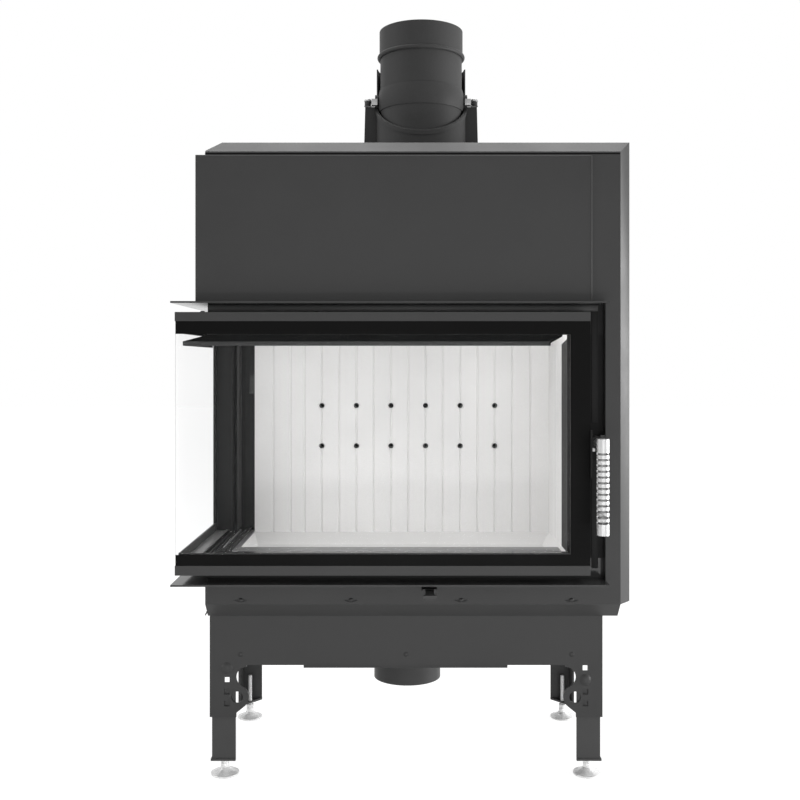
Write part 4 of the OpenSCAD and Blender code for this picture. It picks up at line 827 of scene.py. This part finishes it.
def deflector_lip():
    """Lit lower edge of the deflector, along the front and the glazed side."""
    left, front, low, right, back, _ = edges("air_wash_deflector")
    gap, sheet, rise, height = 0.05, 0.5, 0.1, 7.2
    left_margin, right_margin, back_margin = 0.35, 26.25, 0.2
    outer, z0 = gap + sheet, low + rise
    z1 = z0 + height
    along_front = ((left + left_margin, front - outer, z0), (right - right_margin, front - gap, z1))
    along_side = ((left - outer, front - 2 * gap, z0), (left - gap, back - back_margin, z1))
    box_piece("deflector_lip", [along_front, along_side], "casing", "body", bevel=0.2)


# Pieces of the flue
# The clamps and the ears stand at these distances on both sides of the flue's axis.
# The shanks start a little below the bolts' axis, and the domes sit on top of them.
CLAMP_OUT, EAR_OUT = 101.2, 86.6
SHANK_BELOW, DOME_ABOVE = 7.8, 9.1
SHANK_PROFILE = [(0.01, 0), (7.0, 0), (7.0, 1.4), (5.6, 1.7), (5.6, 3.2), (6.2, 3.4), (6.2, 9.0), (0.01, 9.0)]
DOME_PROFILE = [(0.01, 0), (6.9, 0), (7.1, 0.4), (6.9, 2.1), (6.0, 3.9), (4.4, 5.1), (2.2, 5.8), (0.01, 6.0)]
SHANK_Z = PIVOT_Z - SHANK_BELOW
DOME_Z = SHANK_Z + DOME_ABOVE


def clamp_screws():
    """Clamp screws on the collar's side plates: black shanks under zinc domes."""
    for name, mat, slot_name, profile, z in (
            ("clamp_shanks", "black_steel", "steel_black", SHANK_PROFILE, SHANK_Z),
            ("clamp_domes", "zinc", "zinc_steel", DOME_PROFILE, DOME_Z)):
        bm = bmesh.new()
        for side in (-1, 1):
            turn(bm, profile, 40, at(FLUE_X + side * CLAMP_OUT, FLUE_Y, z))
        finish_piece(name, bm, mat, "body", angle=30)


def clamp_saddles():
    """Zinc saddles on the side plates, in front of the ears: a front plate, an arm and a foot under it."""
    outer, plate_in, arm_in = 94.0, 82.6, 88.0
    sheet, arm, foot, before = 3.1, 7.0, 16.9, 17.5
    drop, foot_sheet, height = 1.2, 1.6, 12.0
    y0 = FLUE_Y - before
    y1 = y0 + sheet
    low, foot_top = SHANK_Z - drop, SHANK_Z + foot_sheet
    boxes = []
    for side in (-1, 1):
        out = FLUE_X + side * outer
        plate = sorted((out, FLUE_X + side * plate_in))
        narrow = sorted((out, FLUE_X + side * arm_in))
        boxes += [((plate[0], y0, low), (plate[1], y1, low + height)),
                  ((narrow[0], y1, foot_top), (narrow[1], y1 + arm, low + height)),
                  ((narrow[0], y1, SHANK_Z), (narrow[1], y1 + foot, foot_top))]
    box_piece("clamp_saddles", boxes, "zinc", "body", bevel=0.3)


def collar_weld():
    """Weld round the collar on the roof."""
    radius, above = 85.4, 0.6
    circle = (FLUE_X, FLUE_Y, edges("casing_top")[5] + above, radius)
    weld_rings("collar_weld", [circle], sides=72, bead=1.7, mat="flue")


def ear_welds():
    """Weld where the ears meet the collar."""
    radius, below = 2.2, 15
    circles = [(FLUE_X + side * EAR_OUT, FLUE_Y, PIVOT_Z - below, radius) for side in (-1, 1)]
    weld_rings("ear_welds", circles, sides=12, bead=1.0, mat="flue")


SOFTENED = ["leg_frame_" + side for side in ("front", "rear", "left", "right")]
SOFTENED += ["casing_" + side for side in ("right", "rear", "left", "top")]
SOFTENED += ["leg_" + corner for corner in CORNERS]
SOFTENED += ["base_plenum", "front_frame", "hood_panel", "door_top_rail", "door_bottom_rail", "jamb_plate",
             "hinge_stile", "latch_stile", "air_box", "air_wash_deflector"]


def soften():
    """Small edge radius on sheet metal, made by modifiers on the CAD mesh."""
    for name in SOFTENED:
        modifiers = NODES[name].modifiers
        weld = modifiers.new("weld", "WELD")
        weld.merge_threshold = 1e-6
        plain = modifiers.new("plain", "DECIMATE")
        plain.decimate_type = "DISSOLVE"
        plain.angle_limit = math.radians(0.5)
        bevel = modifiers.new("edge", "BEVEL")
        bevel.width = 0.35 * MM
        bevel.segments = 2
        bevel.limit_method = "ANGLE"
        bevel.angle_limit = math.radians(40)
        bevel.harden_normals = True
        bevel.use_clamp_overlap = True


def dress():
    finish_nodes()
    ceramic_print()
    feet()
    rail_screws()
    casing_tab()
    seal_rope()
    collar_weld()
    inlet_weld()
    post_cover()
    lining_clip()
    hearth_strips()
    side_ledge()
    air_sleeves()
    deflector_lip()
    hood_hem()
    hood_joint()
    recess_strips()
    clamp_screws()
    clamp_saddles()
    roof_screws()
    ear_welds()
    soften()


# Stage, lights and camera
def seen_directly(n):
    """1 for rays from the camera, from mirroring surfaces and through glass, 0 for soft light."""
    ray = n.add("ShaderNodeLightPath").outputs
    seen = calc(n, "MAXIMUM", ray["Is Camera Ray"], ray["Is Glossy Ray"])
    return calc(n, "MAXIMUM", seen, ray["Is Transmission Ray"])


def stage():
    """A floor that shows nearly white and still takes a soft shadow."""
    half = 14
    corners = [(-half, -half, 0), (half, -half, 0), (half, half, 0), (-half, half, 0)]
    mesh = bpy.data.meshes.new("floor")
    mesh.from_pydata(corners, [], [(0, 1, 2, 3)])
    floor = bpy.data.objects.new("floor", mesh)
    scene.collection.objects.link(floor)
    m, n = material("floor_white")
    glow = n.add("ShaderNodeEmission", {"Strength": 0.93})
    shaded = n.add("ShaderNodeBsdfDiffuse", {"Color": level(0.2)})
    shown = n.add("ShaderNodeAddShader", {0: glow.outputs[0], 1: shaded.outputs[0]})
    plain = n.add("ShaderNodeBsdfDiffuse", {"Color": level(0.8)})
    inputs = {0: seen_directly(n), 1: plain.outputs[0], 2: shown.outputs[0]}
    n.add("ShaderNodeOutputMaterial", {"Surface": n.add("ShaderNodeMixShader", inputs).outputs[0]})
    mesh.materials.append(m)


def world():
    """White where it is seen, dimmer as a light."""
    studio = bpy.data.worlds.new("studio")
    scene.world = studio
    studio.use_nodes = True
    n = Nodes(studio.node_tree)
    soft = n.add("ShaderNodeBackground", {"Color": WHITE, "Strength": 0.42})
    white = n.add("ShaderNodeBackground", {"Color": WHITE, "Strength": 1.0})
    inputs = {0: seen_directly(n), 1: soft.outputs[0], 2: white.outputs[0]}
    n.add("ShaderNodeOutputWorld", {"Surface": n.add("ShaderNodeMixShader", inputs).outputs[0]})


def area(name, place, target, size, power):
    """A rectangular light of a width and height, in metres, turned to a target."""
    light = bpy.data.lights.new(name, "AREA")
    light.shape = "RECTANGLE"
    light.size, light.size_y = size
    light.energy = power
    lamp = bpy.data.objects.new(name, light)
    scene.collection.objects.link(lamp)
    lamp.location = place
    lamp.rotation_mode = "QUATERNION"
    lamp.rotation_quaternion = (Vector(target) - Vector(place)).to_track_quat("-Z", "Y")
    return lamp


def lights():
    """Large soft lights round the part, and small ones that show the lining."""
    area("top", (0.0, 0.75, 3.2), (0, 0.3, 0.8), size=(2.6, 2.0), power=66)
    area("right", (2.6, -0.1, 0.42), (0.2, 0.1, 0.5), size=(1.5, 1.6), power=106)
    area("left", (-2.8, -0.6, 1.4), (-0.2, 0, 0.7), size=(1.6, 2.2), power=22)
    area("front", (0.3, -3.4, 0.6), (0, 0, 0.2), size=(2.4, 1.0), power=12)
    area("low", (0.1, -1.7, 0.1), (0.0, 0.0, 0.12), size=(1.8, 0.16), power=5)
    # Inside the firebox: one at each upper side and one low along its front
    x = -0.02
    for side in (-1, 1):
        area(f"firebox_{side}", (x + side * 0.23, -0.085, 0.80), (x + side * 0.2, 0.18, 0.44),
             size=(0.14, 0.1), power=0.21)
    low = area("firebox_low", (x, -0.12, 0.42), (x, 0.18, 0.43), size=(0.5, 0.03), power=0.34)
    low.visible_camera = low.visible_glossy = False


def camera():
    """The photograph's camera: level, from the front, with its lens shifted."""
    lens = bpy.data.cameras.new("camera")
    lens.sensor_width = 36
    lens.lens = 45.675
    lens.shift_x, lens.shift_y = -0.00875, -0.0475
    lens.clip_start, lens.clip_end = 0.05, 60
    eye = bpy.data.objects.new("camera", lens)
    scene.collection.objects.link(eye)
    eye.location = (0.00525, -1.8565, 0.705)
    eye.rotation_euler = (math.radians(90), 0, 0)
    scene.camera = eye


dress()
stage()
world()
lights()
camera()
scene.view_settings.view_transform = "Standard"
